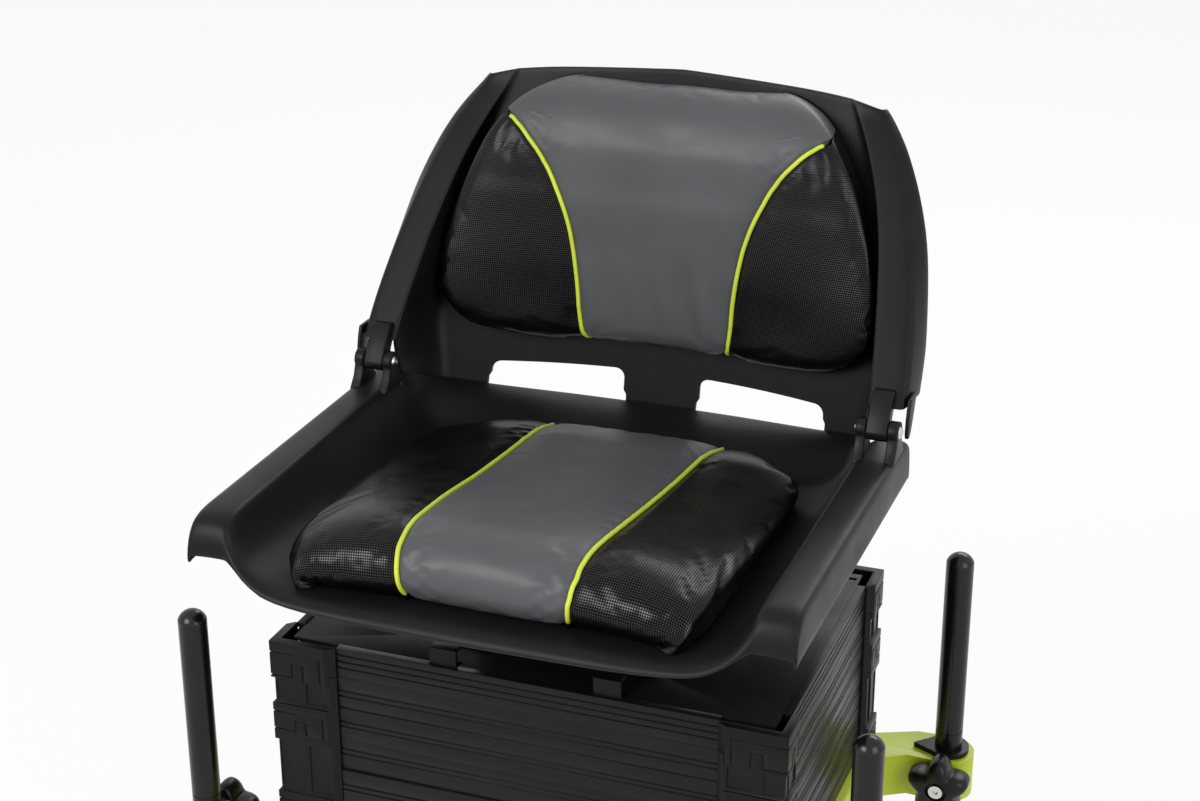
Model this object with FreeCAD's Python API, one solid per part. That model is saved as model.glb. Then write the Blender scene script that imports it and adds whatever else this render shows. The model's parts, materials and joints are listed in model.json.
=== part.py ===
import FreeCAD, Part
import math
import os

os.makedirs("parts", exist_ok=True)

V = FreeCAD.Vector
ORIGIN = V(0, 0, 0)
AXIS_X = V(1, 0, 0)
AXIS_Y = V(0, 1, 0)
AXIS_Z = V(0, 0, 1)

# Driving dimensions in millimetres. X runs to the right seen from the front, Y to the rear, Z up.
# The script counts X and Y from the middle of the legs, under the swivel. What it saves is moved
# by ORIGIN_Y, so that the origin is on the floor under the middle of the whole outline.
LEG_DIAMETER = 25.0
LEG_WALL = 2.0
LEG_X = 296.5
LEG_Y = 166.0
LEG_TOP_ABOVE_BOX = 23.0
BOX_WIDTH = 460.0
BOX_DEPTH = 310.0
BOX_TOP = 376.0
LID_HEIGHT = 27.5
TRAY_UNIT_HEIGHT = 60.5
DRAWER_UNIT_HEIGHT = 88.5
FRAME_HEIGHT = 46.0
MOVING_GAP = 0.4
RUNNING_GAP = 0.05

# Levels that follow from them.
LID_BOTTOM = BOX_TOP - LID_HEIGHT
TRAY_BOTTOM = LID_BOTTOM - TRAY_UNIT_HEIGHT
DRAWER_BOTTOM = TRAY_BOTTOM - DRAWER_UNIT_HEIGHT
FRAME_BOTTOM = DRAWER_BOTTOM - FRAME_HEIGHT
HALF_W = BOX_WIDTH / 2
HALF_D = BOX_DEPTH / 2

# Corner posts: an L section, with proud blocks standing out of a recessed core.
POST_FRONT_WIDTH = 60.0
POST_SIDE_DEPTH = 38.0
POST_WALL = 8.0
POST_RECESS = 2.4
SKIRT_DROP = 8.2
POST_X = HALF_W - POST_FRONT_WIDTH
POST_Y = HALF_D - POST_SIDE_DEPTH

# Panels sit back from the posts' faces.
PANEL_SETBACK = 7.5
PANEL_THICKNESS = 4.0
PANEL_X = HALF_W - PANEL_SETBACK
PANEL_Y = HALF_D - PANEL_SETBACK
INNER_X = PANEL_X - PANEL_THICKNESS
INNER_Y = PANEL_Y - PANEL_THICKNESS
GROOVE_DEPTH = 1.2
GROOVE_HEIGHT = 1.8

# Swivel and seat.
SEAT_HALF_WIDTH = 254.0
ARM_WIDTH = 33.0
ARM_TOP = BOX_TOP + 146.5
ARM_TIP_Y = -233.0
ARM_REAR_Y = 125.0
SHELL = 4.0
PAN_TOP = BOX_TOP + 98.0
LIP_FRONT_Y = -249.0
LIP_LOW_Z = BOX_TOP + 86.0
SEAT_PIN_Y = 82.5
SEAT_PIN_Z = BOX_TOP + 168.0
SEAT_PIN_R = 4.0
EAR_R = 9.5
BACK_LEAN_DEG = 35.8
BACK_TOP_Z = BOX_TOP + 400.0
BACK_BOTTOM_Z = BOX_TOP + 117.0
PLATE = 3.0
PIVOT_R = 8.0
OUTLINE_REAR_Y = 260.31
ORIGIN_Y = (LIP_FRONT_Y + OUTLINE_REAR_Y) / 2

# Catches, lid hinges and clamp knobs.
CATCH_X = 73.0
CATCH_WIDTH = 24.0
CATCH_PIVOT = (-141.2, BOX_TOP - 16.0)
HINGE_X = 110.0
HINGE_AXIS = (160.0, LID_BOTTOM - 10.5)
HINGE_BARREL_R = 4.0
HINGE_PIN_R = 2.0
KNOB_Z = FRAME_BOTTOM + 24.5
KNOB_R = 29.0
KNOB_LOBES = 5
STUD_R = 4.0
LUG_R = 24.0
BUSH_R = 15.5


def block(x0, x1, y0, y1, z0, z1):
    return Part.makeBox(x1 - x0, y1 - y0, z1 - z0, V(x0, y0, z0))


def cylinder(radius, start, axis, length):
    return Part.makeCylinder(radius, length, start, axis)


def polygon_face(points):
    return Part.Face(Part.makePolygon(points + [points[0]]))


def prism_x(outline, x0, x1):
    face = polygon_face([V(x0, y, z) for y, z in outline])
    return face.extrude(V(x1 - x0, 0, 0))


def prism_y(outline, y0, y1):
    face = polygon_face([V(x, y0, z) for x, z in outline])
    return face.extrude(V(0, y1 - y0, 0))


def prism_z(outline, z0, z1):
    face = polygon_face([V(x, y, z0) for x, y in outline])
    return face.extrude(V(0, 0, z1 - z0))


def mirror_x(shape):
    return shape.mirror(ORIGIN, AXIS_X)


def mirror_y(shape):
    return shape.mirror(ORIGIN, AXIS_Y)


def both_sides(shape):
    return [shape, mirror_x(shape)]


def front_and_back(shape):
    return [shape, mirror_y(shape)]


def four_corners(shape):
    return [piece for half in both_sides(shape) for piece in front_and_back(half)]


def fuse(shapes):
    joined = shapes[0]
    for shape in shapes[1:]:
        joined = joined.fuse(shape)
    return joined.removeSplitter()


def save(node, *solids):
    solids = [solid.translated(V(0, -ORIGIN_Y, 0)) for solid in solids]
    shape = solids[0] if len(solids) == 1 else Part.makeCompound(solids)
    count = len(shape.Solids)
    bad = "" if shape.isValid() and count == len(solids) else "  CHECK"
    print(node, count, round(shape.Volume), bad)
    shape.exportStep("parts/" + node + ".step")


CORNERS = {
    "front_left": (-1, -1),
    "front_right": (1, -1),
    "back_left": (-1, 1),
    "back_right": (1, 1),
}


def at_corner(shape, corner):
    side, end = CORNERS[corner]
    placed = shape if side > 0 else mirror_x(shape)
    return placed if end > 0 else mirror_y(placed)


# Base frame: hollow rails between cast corner arms.
RAIL_WIDTH = 30.0
RAIL_WALL = 3.0
CORNER_X = 190.0
CORNER_Y = 115.0


def frame_rails():
    outer = block(-CORNER_X, CORNER_X, HALF_D - RAIL_WIDTH, HALF_D, FRAME_BOTTOM, DRAWER_BOTTOM)
    inner = block(
        -CORNER_X, CORNER_X,
        HALF_D - RAIL_WIDTH + RAIL_WALL, HALF_D - RAIL_WALL,
        FRAME_BOTTOM + RAIL_WALL, DRAWER_BOTTOM - RAIL_WALL,
    )
    back = outer.cut(inner)
    outer = block(HALF_W - RAIL_WIDTH, HALF_W, -CORNER_Y, CORNER_Y, FRAME_BOTTOM, DRAWER_BOTTOM)
    inner = block(
        HALF_W - RAIL_WIDTH + RAIL_WALL, HALF_W - RAIL_WALL,
        -CORNER_Y, CORNER_Y,
        FRAME_BOTTOM + RAIL_WALL, DRAWER_BOTTOM - RAIL_WALL,
    )
    right = outer.cut(inner)
    save("frame_rails", *front_and_back(back), *both_sides(right))


ARM_DROP = 4.5
ARM_Z0 = FRAME_BOTTOM
ARM_Z1 = DRAWER_BOTTOM - ARM_DROP
BOLT_R = 3.0
BOLT_SPOTS = ((205.0, 127.0), (218.0, 140.0))


def corner_arm():
    corner = block(CORNER_X, HALF_W, CORNER_Y, HALF_D, FRAME_BOTTOM, DRAWER_BOTTOM)
    arm = prism_z(
        [
            (HALF_W - 12, 121), (HALF_W + 2, 124), (LEG_X - 33, LEG_Y - LUG_R + 1.5),
            (LEG_X, LEG_Y - LUG_R), (LEG_X, LEG_Y + LUG_R), (LEG_X - 33, LEG_Y + LUG_R - 2),
            (HALF_W + 2, 174), (HALF_W - 12, 168), (HALF_W - 24, 150),
        ],
        ARM_Z0, ARM_Z1,
    )
    lug = cylinder(LUG_R, V(LEG_X, LEG_Y, ARM_Z0), AXIS_Z, ARM_Z1 - ARM_Z0)
    body = fuse([corner, arm, lug])
    body = body.cut(cylinder(BUSH_R, V(LEG_X, LEG_Y, ARM_Z0 - 1), AXIS_Z, FRAME_HEIGHT + 2))
    body = body.cut(cylinder(STUD_R + RUNNING_GAP, V(LEG_X, LEG_Y, KNOB_Z), V(0, -1, 0), LUG_R + 5))
    for x, y in BOLT_SPOTS:
        body = body.cut(cylinder(BOLT_R, V(x, y, FRAME_BOTTOM - 1), AXIS_Z, FRAME_HEIGHT + 2))
    return body


def frame_bolts():
    bolts = []
    for x, y in BOLT_SPOTS:
        shank = cylinder(BOLT_R, V(x, y, FRAME_BOTTOM), AXIS_Z, FRAME_HEIGHT)
        head = cylinder(5.0, V(x, y, FRAME_BOTTOM - 4), AXIS_Z, 4)
        socket = cylinder(2.2, V(x, y, FRAME_BOTTOM - 4), AXIS_Z, 2.2)
        bolts += four_corners(shank.fuse(head).cut(socket).removeSplitter())
    save("frame_bolts", *bolts)


def leg_bush():
    collar_r = 19.0
    sleeve = cylinder(BUSH_R, V(LEG_X, LEG_Y, ARM_Z0), AXIS_Z, ARM_Z1 - ARM_Z0)
    collar = cylinder(collar_r, V(LEG_X, LEG_Y, ARM_Z1), AXIS_Z, 5)
    point = (LEG_X - 31, LEG_Y - 6)
    drop = prism_z(
        [(LEG_X - 4, LEG_Y - collar_r + 0.6), point, (LEG_X - 10, LEG_Y + 15.5)], ARM_Z1, ARM_Z1 + 5
    )
    body = fuse([sleeve, collar, drop])
    bore = cylinder(LEG_DIAMETER / 2 + RUNNING_GAP, V(LEG_X, LEG_Y, ARM_Z0 - 1), AXIS_Z, 60)
    body = body.cut(bore)
    return body.cut(cylinder(STUD_R + RUNNING_GAP, V(LEG_X, LEG_Y, KNOB_Z), V(0, -1, 0), LUG_R))


# Legs with a domed cap and a rubber foot.
LEG_BOTTOM = 8.0
CAP_HEIGHT = 11.0
GROOVE_Z = ARM_Z1 + 22.0


def leg_parts():
    radius = LEG_DIAMETER / 2
    inside = radius - LEG_WALL
    top = BOX_TOP + LEG_TOP_ABOVE_BOX
    tube_top = top - CAP_HEIGHT
    tube = cylinder(radius, V(LEG_X, LEG_Y, LEG_BOTTOM), AXIS_Z, tube_top - LEG_BOTTOM)
    tube = tube.cut(cylinder(inside, V(LEG_X, LEG_Y, LEG_BOTTOM), AXIS_Z, tube_top - LEG_BOTTOM))
    ring = cylinder(radius + 1, V(LEG_X, LEG_Y, GROOVE_Z), AXIS_Z, 1.2)
    ring = ring.cut(cylinder(radius - 0.5, V(LEG_X, LEG_Y, GROOVE_Z), AXIS_Z, 1.2))
    tube = tube.cut(ring)

    stem = cylinder(inside, V(LEG_X, LEG_Y, tube_top - 14), AXIS_Z, 14)
    rim = cylinder(radius, V(LEG_X, LEG_Y, tube_top), AXIS_Z, CAP_HEIGHT)
    dome_height = CAP_HEIGHT - 2.0
    dome_r = (radius ** 2 + dome_height ** 2) / (2 * dome_height)
    dome = Part.makeSphere(dome_r, V(LEG_X, LEG_Y, top - dome_r))
    cap = stem.fuse(rim.common(dome)).removeSplitter()

    foot_outline = [
        (0, 0), (21, 0), (22, 3), (21, 7), (17, 10), (15.5, 14), (15.5, 38), (radius, 40),
        (radius, LEG_BOTTOM), (0, LEG_BOTTOM),
    ]
    face = polygon_face([V(LEG_X + r, LEG_Y, z) for r, z in foot_outline])
    foot = face.revolve(V(LEG_X, LEG_Y, 0), AXIS_Z, 360)
    return tube, cap, foot


def knob_body():
    hub_y = LEG_Y - LUG_R - MOVING_GAP
    depth = 27.0
    centre = V(LEG_X, hub_y, KNOB_Z)
    toward_front = V(0, -1, 0)
    core = cylinder(KNOB_R * 0.62, centre, toward_front, depth)
    lobes = []
    for i in range(KNOB_LOBES):
        angle = math.pi / 2 + 2 * math.pi * i / KNOB_LOBES
        reach = KNOB_R - 8.0
        middle = V(LEG_X + reach * math.cos(angle), hub_y - 5, KNOB_Z + reach * math.sin(angle))
        lobes.append(cylinder(8.0, middle, toward_front, depth - 8))
    knob = fuse([core] + lobes)
    knob = knob.cut(cylinder(STUD_R, centre, toward_front, depth + 1))
    return knob.cut(cylinder(8.0, V(LEG_X, hub_y - depth + 5, KNOB_Z), toward_front, 10))


def clamp_stud():
    hub_y = LEG_Y - LUG_R - MOVING_GAP
    tip_y = LEG_Y - LEG_DIAMETER / 2 - MOVING_GAP
    head_y = hub_y - 22.0
    shank = cylinder(STUD_R, V(LEG_X, tip_y, KNOB_Z), V(0, -1, 0), tip_y - head_y)
    head = cylinder(6.5, V(LEG_X, head_y, KNOB_Z), V(0, -1, 0), 4)
    socket = cylinder(2.5, V(LEG_X, head_y - 4, KNOB_Z), AXIS_Y, 2.5)
    return shank.fuse(head).cut(socket).removeSplitter()


# Box units.
def post(z0, z1, proud_bands, skirt=0.0):
    """One L-shaped corner post at the back right, with proud blocks over the named bands of height."""
    edge_x = HALF_W - POST_RECESS
    edge_y = HALF_D - POST_RECESS
    parts = [block(POST_X, edge_x, POST_Y, edge_y, z0, z1)]
    for low, high in proud_bands:
        parts.append(block(POST_X, HALF_W, POST_Y, HALF_D, low, high))
    body = fuse(parts)
    body = body.cut(
        block(POST_X - 1, HALF_W - POST_WALL, POST_Y - 1, HALF_D - POST_WALL, z0 - 50, z1 + 50)
    )
    if skirt:
        shell = block(POST_X, HALF_W, POST_Y, HALF_D, z0 - skirt, z0)
        room = block(
            POST_X - 1, edge_x + MOVING_GAP, POST_Y - 1, edge_y + MOVING_GAP, z0 - skirt - 1, z0
        )
        body = body.fuse(shell.cut(room)).removeSplitter()
    return body


KEY_DEPTH = 1.1
KEY_LINE = 1.5
POCKET_DEPTH = 1.6
POCKET_MARGIN = 3.0


def key_lines(width, z0, z1):
    """Lines of a key pattern: nearest and furthest distance from the corner's edge, low and high."""
    reach = 0.8 * width
    inner = 0.53 * width
    hook = 0.36 * width
    top = z0 + 0.68 * (z1 - z0)
    middle = z0 + 0.42 * (z1 - z0)
    foot = z0 + 2.0
    return [
        (-1, reach, top, top + KEY_LINE),
        (reach - KEY_LINE, reach, z0, top),
        (inner - KEY_LINE, inner, z0 - 1, middle),
        (hook - KEY_LINE, inner, middle, middle + KEY_LINE),
        (hook - KEY_LINE, hook, foot, middle),
        (-1, hook, foot, foot + KEY_LINE),
    ]


def sunk_behind(near, far, low, high, surface, depth):
    """A box sunk into the post's rear face."""
    return block(HALF_W - far, HALF_W - near, surface - depth, HALF_D + 1, low, high)


def sunk_beside(near, far, low, high, surface, depth):
    """A box sunk into the post's side face."""
    return block(surface - depth, HALF_W + 1, HALF_D - far, HALF_D - near, low, high)


def relief(body, blocks, pockets):
    """Key lines sunk into the proud blocks, and pockets beside a rib in the recessed stretches."""
    faces = ((sunk_behind, POST_FRONT_WIDTH, HALF_D), (sunk_beside, POST_SIDE_DEPTH, HALF_W))
    cuts = []
    for sunk, width, surface in faces:
        for z0, z1 in blocks:
            cuts += [sunk(*line, surface, KEY_DEPTH) for line in key_lines(width, z0, z1)]
        for z0, z1 in pockets:
            low = z0 + POCKET_MARGIN
            high = z1 - POCKET_MARGIN
            core = surface - POST_RECESS
            cuts.append(sunk(0.53 * width, 0.85 * width, low, high, core, POCKET_DEPTH))
            cuts.append(sunk(POST_RECESS + 1.5, 0.34 * width, low, high, core, POCKET_DEPTH - 0.6))
    for cut in cuts:
        body = body.cut(cut)
    return chamfer_to_panels(body)


def chamfer_to_panels(body):
    """The post's inner ends slope down to the panels beside them."""
    box = body.BoundBox
    slopes = (
        [(POST_X - 1, HALF_D + 1), (POST_X - 1, PANEL_Y + 1.5), (POST_X, PANEL_Y + 1.5),
         (POST_X + 8, HALF_D), (POST_X + 8, HALF_D + 1)],
        [(HALF_W + 1, POST_Y - 1), (PANEL_X + 1.5, POST_Y - 1), (PANEL_X + 1.5, POST_Y),
         (HALF_W, POST_Y + 6), (HALF_W + 1, POST_Y + 6)],
    )
    for outline in slopes:
        body = body.cut(prism_z(outline, box.ZMin - 1, box.ZMax + 1))
    return body


def grooved_panel_y(x_half, z0, z1, groove_levels, thickness=PANEL_THICKNESS):
    """A rear panel with grooves along X on its outer face."""
    body = block(-x_half, x_half, PANEL_Y - thickness, PANEL_Y, z0, z1)
    for z in groove_levels:
        body = body.cut(
            block(-x_half - 1, x_half + 1, PANEL_Y - GROOVE_DEPTH, PANEL_Y + 1, z, z + GROOVE_HEIGHT)
        )
    return body


def grooved_panel_x(y_half, z0, z1, groove_levels, thickness=PANEL_THICKNESS):
    """A right side panel with grooves along Y on its outer face."""
    body = block(PANEL_X - thickness, PANEL_X, -y_half, y_half, z0, z1)
    for z in groove_levels:
        body = body.cut(
            block(PANEL_X - GROOVE_DEPTH, PANEL_X + 1, -y_half - 1, y_half + 1, z, z + GROOVE_HEIGHT)
        )
    return body


TRAY_GROOVES = [BOX_TOP - level for level in (41.5, 46.6, 58.0, 72.0, 76.6)]
DRAWER_GROOVES = [BOX_TOP - level for level in (99.0, 104.0, 119.0, 134.0, 139.0, 160.0)]
LID_GROOVES = [BOX_TOP - level for level in (7.0, 13.0, 19.0)]
CATCH_SLOT = (-144.9, -131.0)


def catch_slots(z0, z1, y0, y1):
    half = CATCH_WIDTH / 2 + 0.6
    slot = block(CATCH_X - half, CATCH_X + half, y0, y1, z0, z1)
    return both_sides(slot)


def drawer_unit():
    low_band = (DRAWER_BOTTOM, BOX_TOP - 148.7)
    top_band = (BOX_TOP - 96.1, TRAY_BOTTOM)
    pocket = (low_band[1], top_band[0])
    body = relief(post(DRAWER_BOTTOM, TRAY_BOTTOM, [low_band, top_band]), [low_band], [pocket])
    save("drawer_unit_corners", *four_corners(body))

    rail_low = TRAY_BOTTOM - 30.0
    rail = mirror_y(grooved_panel_y(POST_X, rail_low, TRAY_BOTTOM, DRAWER_GROOVES[:2]))
    ledge = block(-POST_X, POST_X, -INNER_Y, -INNER_Y + 14, TRAY_BOTTOM - 3, TRAY_BOTTOM)
    save("drawer_unit_front_rail", fuse([rail, ledge]))
    save("drawer_unit_back_panel", grooved_panel_y(POST_X, DRAWER_BOTTOM, TRAY_BOTTOM, DRAWER_GROOVES))
    side = grooved_panel_x(POST_Y, DRAWER_BOTTOM, TRAY_BOTTOM, DRAWER_GROOVES)
    save("drawer_unit_side_panels", *both_sides(side))

    floor = block(-INNER_X, INNER_X, -INNER_Y, INNER_Y, DRAWER_BOTTOM, DRAWER_BOTTOM + 3)
    runner = prism_y(
        [(150, DRAWER_BOTTOM + 3), (172, DRAWER_BOTTOM + 3), (172, DRAWER_BOTTOM + 16),
         (168, DRAWER_BOTTOM + 16), (168, DRAWER_BOTTOM + 7), (150, DRAWER_BOTTOM + 7)],
        -INNER_Y + 4, INNER_Y - 6,
    )
    save("drawer_unit_floor", fuse([floor] + both_sides(runner)))


DRAWER_HALF = 167.0


def drawer():
    low = DRAWER_BOTTOM + 7 + MOVING_GAP
    high = DRAWER_BOTTOM + 52
    front_y = -PANEL_Y + PANEL_THICKNESS
    back_y = INNER_Y - 12
    tray = block(-DRAWER_HALF, DRAWER_HALF, front_y, back_y, low, high)
    room = block(-DRAWER_HALF + 2.5, DRAWER_HALF - 2.5, front_y + 2.5, back_y - 2.5, low + 2.5, high + 1)
    save("drawer_tray", tray.cut(room))

    top = TRAY_BOTTOM - 30.0 - 0.8
    half = POST_X - 0.8
    front = block(-half, half, front_y - 5.5, front_y, DRAWER_BOTTOM + 1, top)
    for z in DRAWER_GROOVES[2:]:
        front = front.cut(
            block(-half - 1, half + 1, front_y - 6, front_y - 5.5 + GROOVE_DEPTH, z, z + GROOVE_HEIGHT)
        )
    save("drawer_front", front)

    face = front_y - 5.5
    pull = prism_x(
        [
            (face, 236), (face, 226), (face - 3, 226), (face - 3, 231), (face - 9, 227.5),
            (face - 10, 215), (face - 13, 215), (face - 12.5, 228.5), (face - 7, 234.5),
        ],
        -46, 46,
    )
    save("drawer_pull", pull)


def tray_unit():
    band = (TRAY_BOTTOM, BOX_TOP - 60.2)
    pocket = (band[1], LID_BOTTOM - SKIRT_DROP)
    body = relief(post(TRAY_BOTTOM, LID_BOTTOM, [band]), [band], [pocket])
    save("tray_unit_corners", *four_corners(body))

    back = grooved_panel_y(POST_X, TRAY_BOTTOM, LID_BOTTOM, TRAY_GROOVES)
    flange = block(-POST_X, POST_X, INNER_Y - 13, INNER_Y, LID_BOTTOM - 3, LID_BOTTOM)
    back = fuse([back, flange])
    front = mirror_y(back)
    for slot in catch_slots(LID_BOTTOM - 7.5, LID_BOTTOM + 1, -144.5, -132.5):
        front = front.cut(slot)
    save("tray_unit_long_panels", front, back)

    side = grooved_panel_x(POST_Y, TRAY_BOTTOM, LID_BOTTOM, TRAY_GROOVES)
    save("tray_unit_side_panels", *both_sides(side))
    save("tray_floor", block(-INNER_X, INNER_X, -INNER_Y, INNER_Y, TRAY_BOTTOM + 1, TRAY_BOTTOM + 4))


def hinge_leaf(outline, knuckles):
    """A folded plate and its knuckles, bored for the pin."""
    y, z = HINGE_AXIS
    plate = prism_x(outline[0], HINGE_X - 30, HINGE_X + 30)
    parts = [plate]
    for x0, x1 in knuckles:
        parts.append(prism_x(outline[1], HINGE_X + x0, HINGE_X + x1))
        parts.append(cylinder(HINGE_BARREL_R, V(HINGE_X + x0, y, z), AXIS_X, x1 - x0))
    body = fuse(parts)
    return body.cut(cylinder(HINGE_PIN_R + RUNNING_GAP, V(HINGE_X - 40, y, z), AXIS_X, 80))


def lid_hinges():
    y, z = HINGE_AXIS
    plate_y = PANEL_Y + 2.5
    lower = hinge_leaf(
        (
            [(PANEL_Y, z - 36), (plate_y, z - 36), (plate_y, z - 3), (PANEL_Y, z - 3)],
            [(PANEL_Y, z - 9), (plate_y, z - 9), (y, z - 3.9), (y - 2.5, z), (PANEL_Y, z - 5)],
        ),
        [(-30, -16), (16, 30)],
    )
    save("lid_hinge_lower_leaves", *both_sides(lower))
    upper = hinge_leaf(
        (
            [(PANEL_Y, z + 12), (plate_y, z + 12), (plate_y, z + 33), (PANEL_Y, z + 33)],
            [(PANEL_Y, z + 12), (PANEL_Y, z + 18), (plate_y, z + 18), (y + 1.5, z + 3), (y - 3, z + 2)],
        ),
        [(-15.5, 15.5)],
    )
    save("lid_hinge_upper_leaves", *both_sides(upper))
    pin = cylinder(HINGE_PIN_R, V(HINGE_X - 30, y, z), AXIS_X, 60)
    save("lid_hinge_pins", *both_sides(pin))


LID_WALL = 8.0
LEDGE_Z = BOX_TOP - 4.5
LEDGE_DEPTH = 12.0


def lid():
    z0 = LID_BOTTOM + MOVING_GAP
    body = relief(post(z0, BOX_TOP, [(z0, BOX_TOP)], skirt=SKIRT_DROP), [(z0 - SKIRT_DROP, BOX_TOP)], [])
    save("lid_corners", *four_corners(body))

    wall = PANEL_Y - LID_WALL
    outline = [
        (PANEL_Y, z0), (PANEL_Y, BOX_TOP), (wall, BOX_TOP), (wall, LEDGE_Z),
        (wall - LEDGE_DEPTH, LEDGE_Z), (wall - LEDGE_DEPTH, LEDGE_Z - 4), (wall, LEDGE_Z - 4), (wall, z0),
    ]
    back = prism_x(outline, -POST_X, POST_X)
    for z in LID_GROOVES:
        back = back.cut(
            block(-POST_X - 1, POST_X + 1, PANEL_Y - GROOVE_DEPTH, PANEL_Y + 1, z, z + GROOVE_HEIGHT)
        )
    front = mirror_y(back)
    for slot in catch_slots(z0 - 1, BOX_TOP + 1, *CATCH_SLOT):
        front = front.cut(slot)
    y, z = CATCH_PIVOT
    for side in (-1, 1):
        start = V(side * CATCH_X - 16, y, z)
        front = front.cut(cylinder(2 + RUNNING_GAP, start, AXIS_X, 32))
    save("lid_long_rails", front, back)

    wall = PANEL_X - LID_WALL
    outline = [
        (PANEL_X, z0), (PANEL_X, BOX_TOP), (wall, BOX_TOP), (wall, LEDGE_Z),
        (wall - LEDGE_DEPTH, LEDGE_Z), (wall - LEDGE_DEPTH, LEDGE_Z - 4), (wall, LEDGE_Z - 4), (wall, z0),
    ]
    right = prism_y(outline, -POST_Y, POST_Y)
    for z in LID_GROOVES:
        right = right.cut(
            block(PANEL_X - GROOVE_DEPTH, PANEL_X + 1, -POST_Y - 1, POST_Y + 1, z, z + GROOVE_HEIGHT)
        )
    save("lid_side_rails", *both_sides(right))

    edge_x = PANEL_X - LID_WALL - 0.3
    edge_y = PANEL_Y - LID_WALL - 0.3
    panel = block(-edge_x, edge_x, -edge_y, edge_y, LEDGE_Z, BOX_TOP - 1)
    for slot in catch_slots(LEDGE_Z - 1, BOX_TOP, *CATCH_SLOT):
        panel = panel.cut(slot)
    for x, y in PEDESTAL_BOLTS:
        panel = panel.cut(cylinder(BOLT_R, V(x, y, LEDGE_Z - 1), AXIS_Z, 8))
    for slot in both_sides(block(193, 211, 127, 131, LEDGE_Z - 1, BOX_TOP)):
        panel = panel.cut(slot)
    save("lid_panel", panel)


def catch():
    y, z = CATCH_PIVOT
    top = BOX_TOP + 15.0
    lever = prism_x(
        [
            (-143, top), (-131.8, top), (-131.8, top - 2.6), (-139.5, top - 2.6), (-139.5, z - 7),
            (-137.5, z - 10), (-137.5, LID_BOTTOM - 6.5), (-141, LID_BOTTOM - 6.5), (-141, z - 8),
            (-143, z - 5),
        ],
        CATCH_X - CATCH_WIDTH / 2, CATCH_X + CATCH_WIDTH / 2,
    )
    hub = cylinder(3.1, V(CATCH_X - CATCH_WIDTH / 2, y, z), AXIS_X, CATCH_WIDTH)
    pin = cylinder(2.0, V(CATCH_X - 15, y, z), AXIS_X, 30)
    return fuse([lever, hub, pin])


# Swivel between the lid and the seat.
PEDESTAL_BASE = 100.0
PEDESTAL_HALF = 75.0
PEDESTAL_TOP = BOX_TOP + 62.0
PEDESTAL_BOLTS = ((-88.0, -88.0), (88.0, -88.0), (-88.0, 88.0), (88.0, 88.0))
SWIVEL_HALF = 80.0
BALL_R = 2.7
BALL_RING_R = 55.0
BALL_COUNT = 18
LOWER_PLATE_Z = PEDESTAL_TOP
UPPER_PLATE_Z = PEDESTAL_TOP + PLATE + 6.0
BOSS_LOW = UPPER_PLATE_Z + PLATE
SEAT_BOLT_AT = 60.0


def square(half, z0, z1):
    return block(-half, half, -half, half, z0, z1)


def swivel():
    foot = square(PEDESTAL_BASE, BOX_TOP - 1, BOX_TOP + 3)
    tower = square(PEDESTAL_HALF, BOX_TOP + 3, PEDESTAL_TOP)
    hollow = square(PEDESTAL_HALF - 4, BOX_TOP - 1, PEDESTAL_TOP - 4)
    pedestal = fuse([foot, tower]).cut(hollow)
    pedestal = pedestal.cut(cylinder(PIVOT_R + RUNNING_GAP, V(0, 0, PEDESTAL_TOP - 10), AXIS_Z, 20))
    for x, y in PEDESTAL_BOLTS:
        pedestal = pedestal.cut(cylinder(BOLT_R, V(x, y, BOX_TOP - 2), AXIS_Z, 8))
    save("swivel_pedestal", pedestal)

    bolts = []
    for x, y in PEDESTAL_BOLTS:
        shank = cylinder(BOLT_R, V(x, y, LEDGE_Z), AXIS_Z, BOX_TOP + 3 - LEDGE_Z)
        head = cylinder(5.0, V(x, y, BOX_TOP + 3), AXIS_Z, 3.5)
        socket = cylinder(2.2, V(x, y, BOX_TOP + 4.5), AXIS_Z, 3)
        bolts.append(shank.fuse(head).cut(socket).removeSplitter())
    save("pedestal_bolts", *bolts)

    lower = square(SWIVEL_HALF, LOWER_PLATE_Z, LOWER_PLATE_Z + PLATE)
    lower = lower.cut(cylinder(PIVOT_R + RUNNING_GAP, V(0, 0, LOWER_PLATE_Z - 1), AXIS_Z, 8))
    save("swivel_lower_plate", lower)

    balls = []
    for i in range(BALL_COUNT):
        angle = 2 * math.pi * i / BALL_COUNT
        centre = V(
            BALL_RING_R * math.cos(angle), BALL_RING_R * math.sin(angle), LOWER_PLATE_Z + PLATE + BALL_R
        )
        balls.append(Part.makeSphere(BALL_R, centre))
    save("swivel_balls", *balls)

    upper = square(SWIVEL_HALF, UPPER_PLATE_Z, UPPER_PLATE_Z + PLATE)
    upper = upper.cut(cylinder(PIVOT_R, V(0, 0, UPPER_PLATE_Z - 1), AXIS_Z, 8))
    bolts = []
    for x in (-SEAT_BOLT_AT, SEAT_BOLT_AT):
        for y in (-SEAT_BOLT_AT, SEAT_BOLT_AT):
            upper = upper.cut(cylinder(BOLT_R, V(x, y, UPPER_PLATE_Z - 1), AXIS_Z, 8))
            shank = cylinder(BOLT_R, V(x, y, UPPER_PLATE_Z), AXIS_Z, 16)
            head = cylinder(5.0, V(x, y, UPPER_PLATE_Z - 3), AXIS_Z, 3)
            bolts.append(shank.fuse(head).removeSplitter())
    save("swivel_upper_plate", upper)
    save("seat_bolts", *bolts)

    head_top = PEDESTAL_TOP - 4 - MOVING_GAP
    shaft = cylinder(PIVOT_R, V(0, 0, head_top), AXIS_Z, UPPER_PLATE_Z + PLATE - head_top)
    head = cylinder(13.0, V(0, 0, head_top - 5), AXIS_Z, 5)
    save("swivel_pivot", shaft.fuse(head).removeSplitter())


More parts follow.
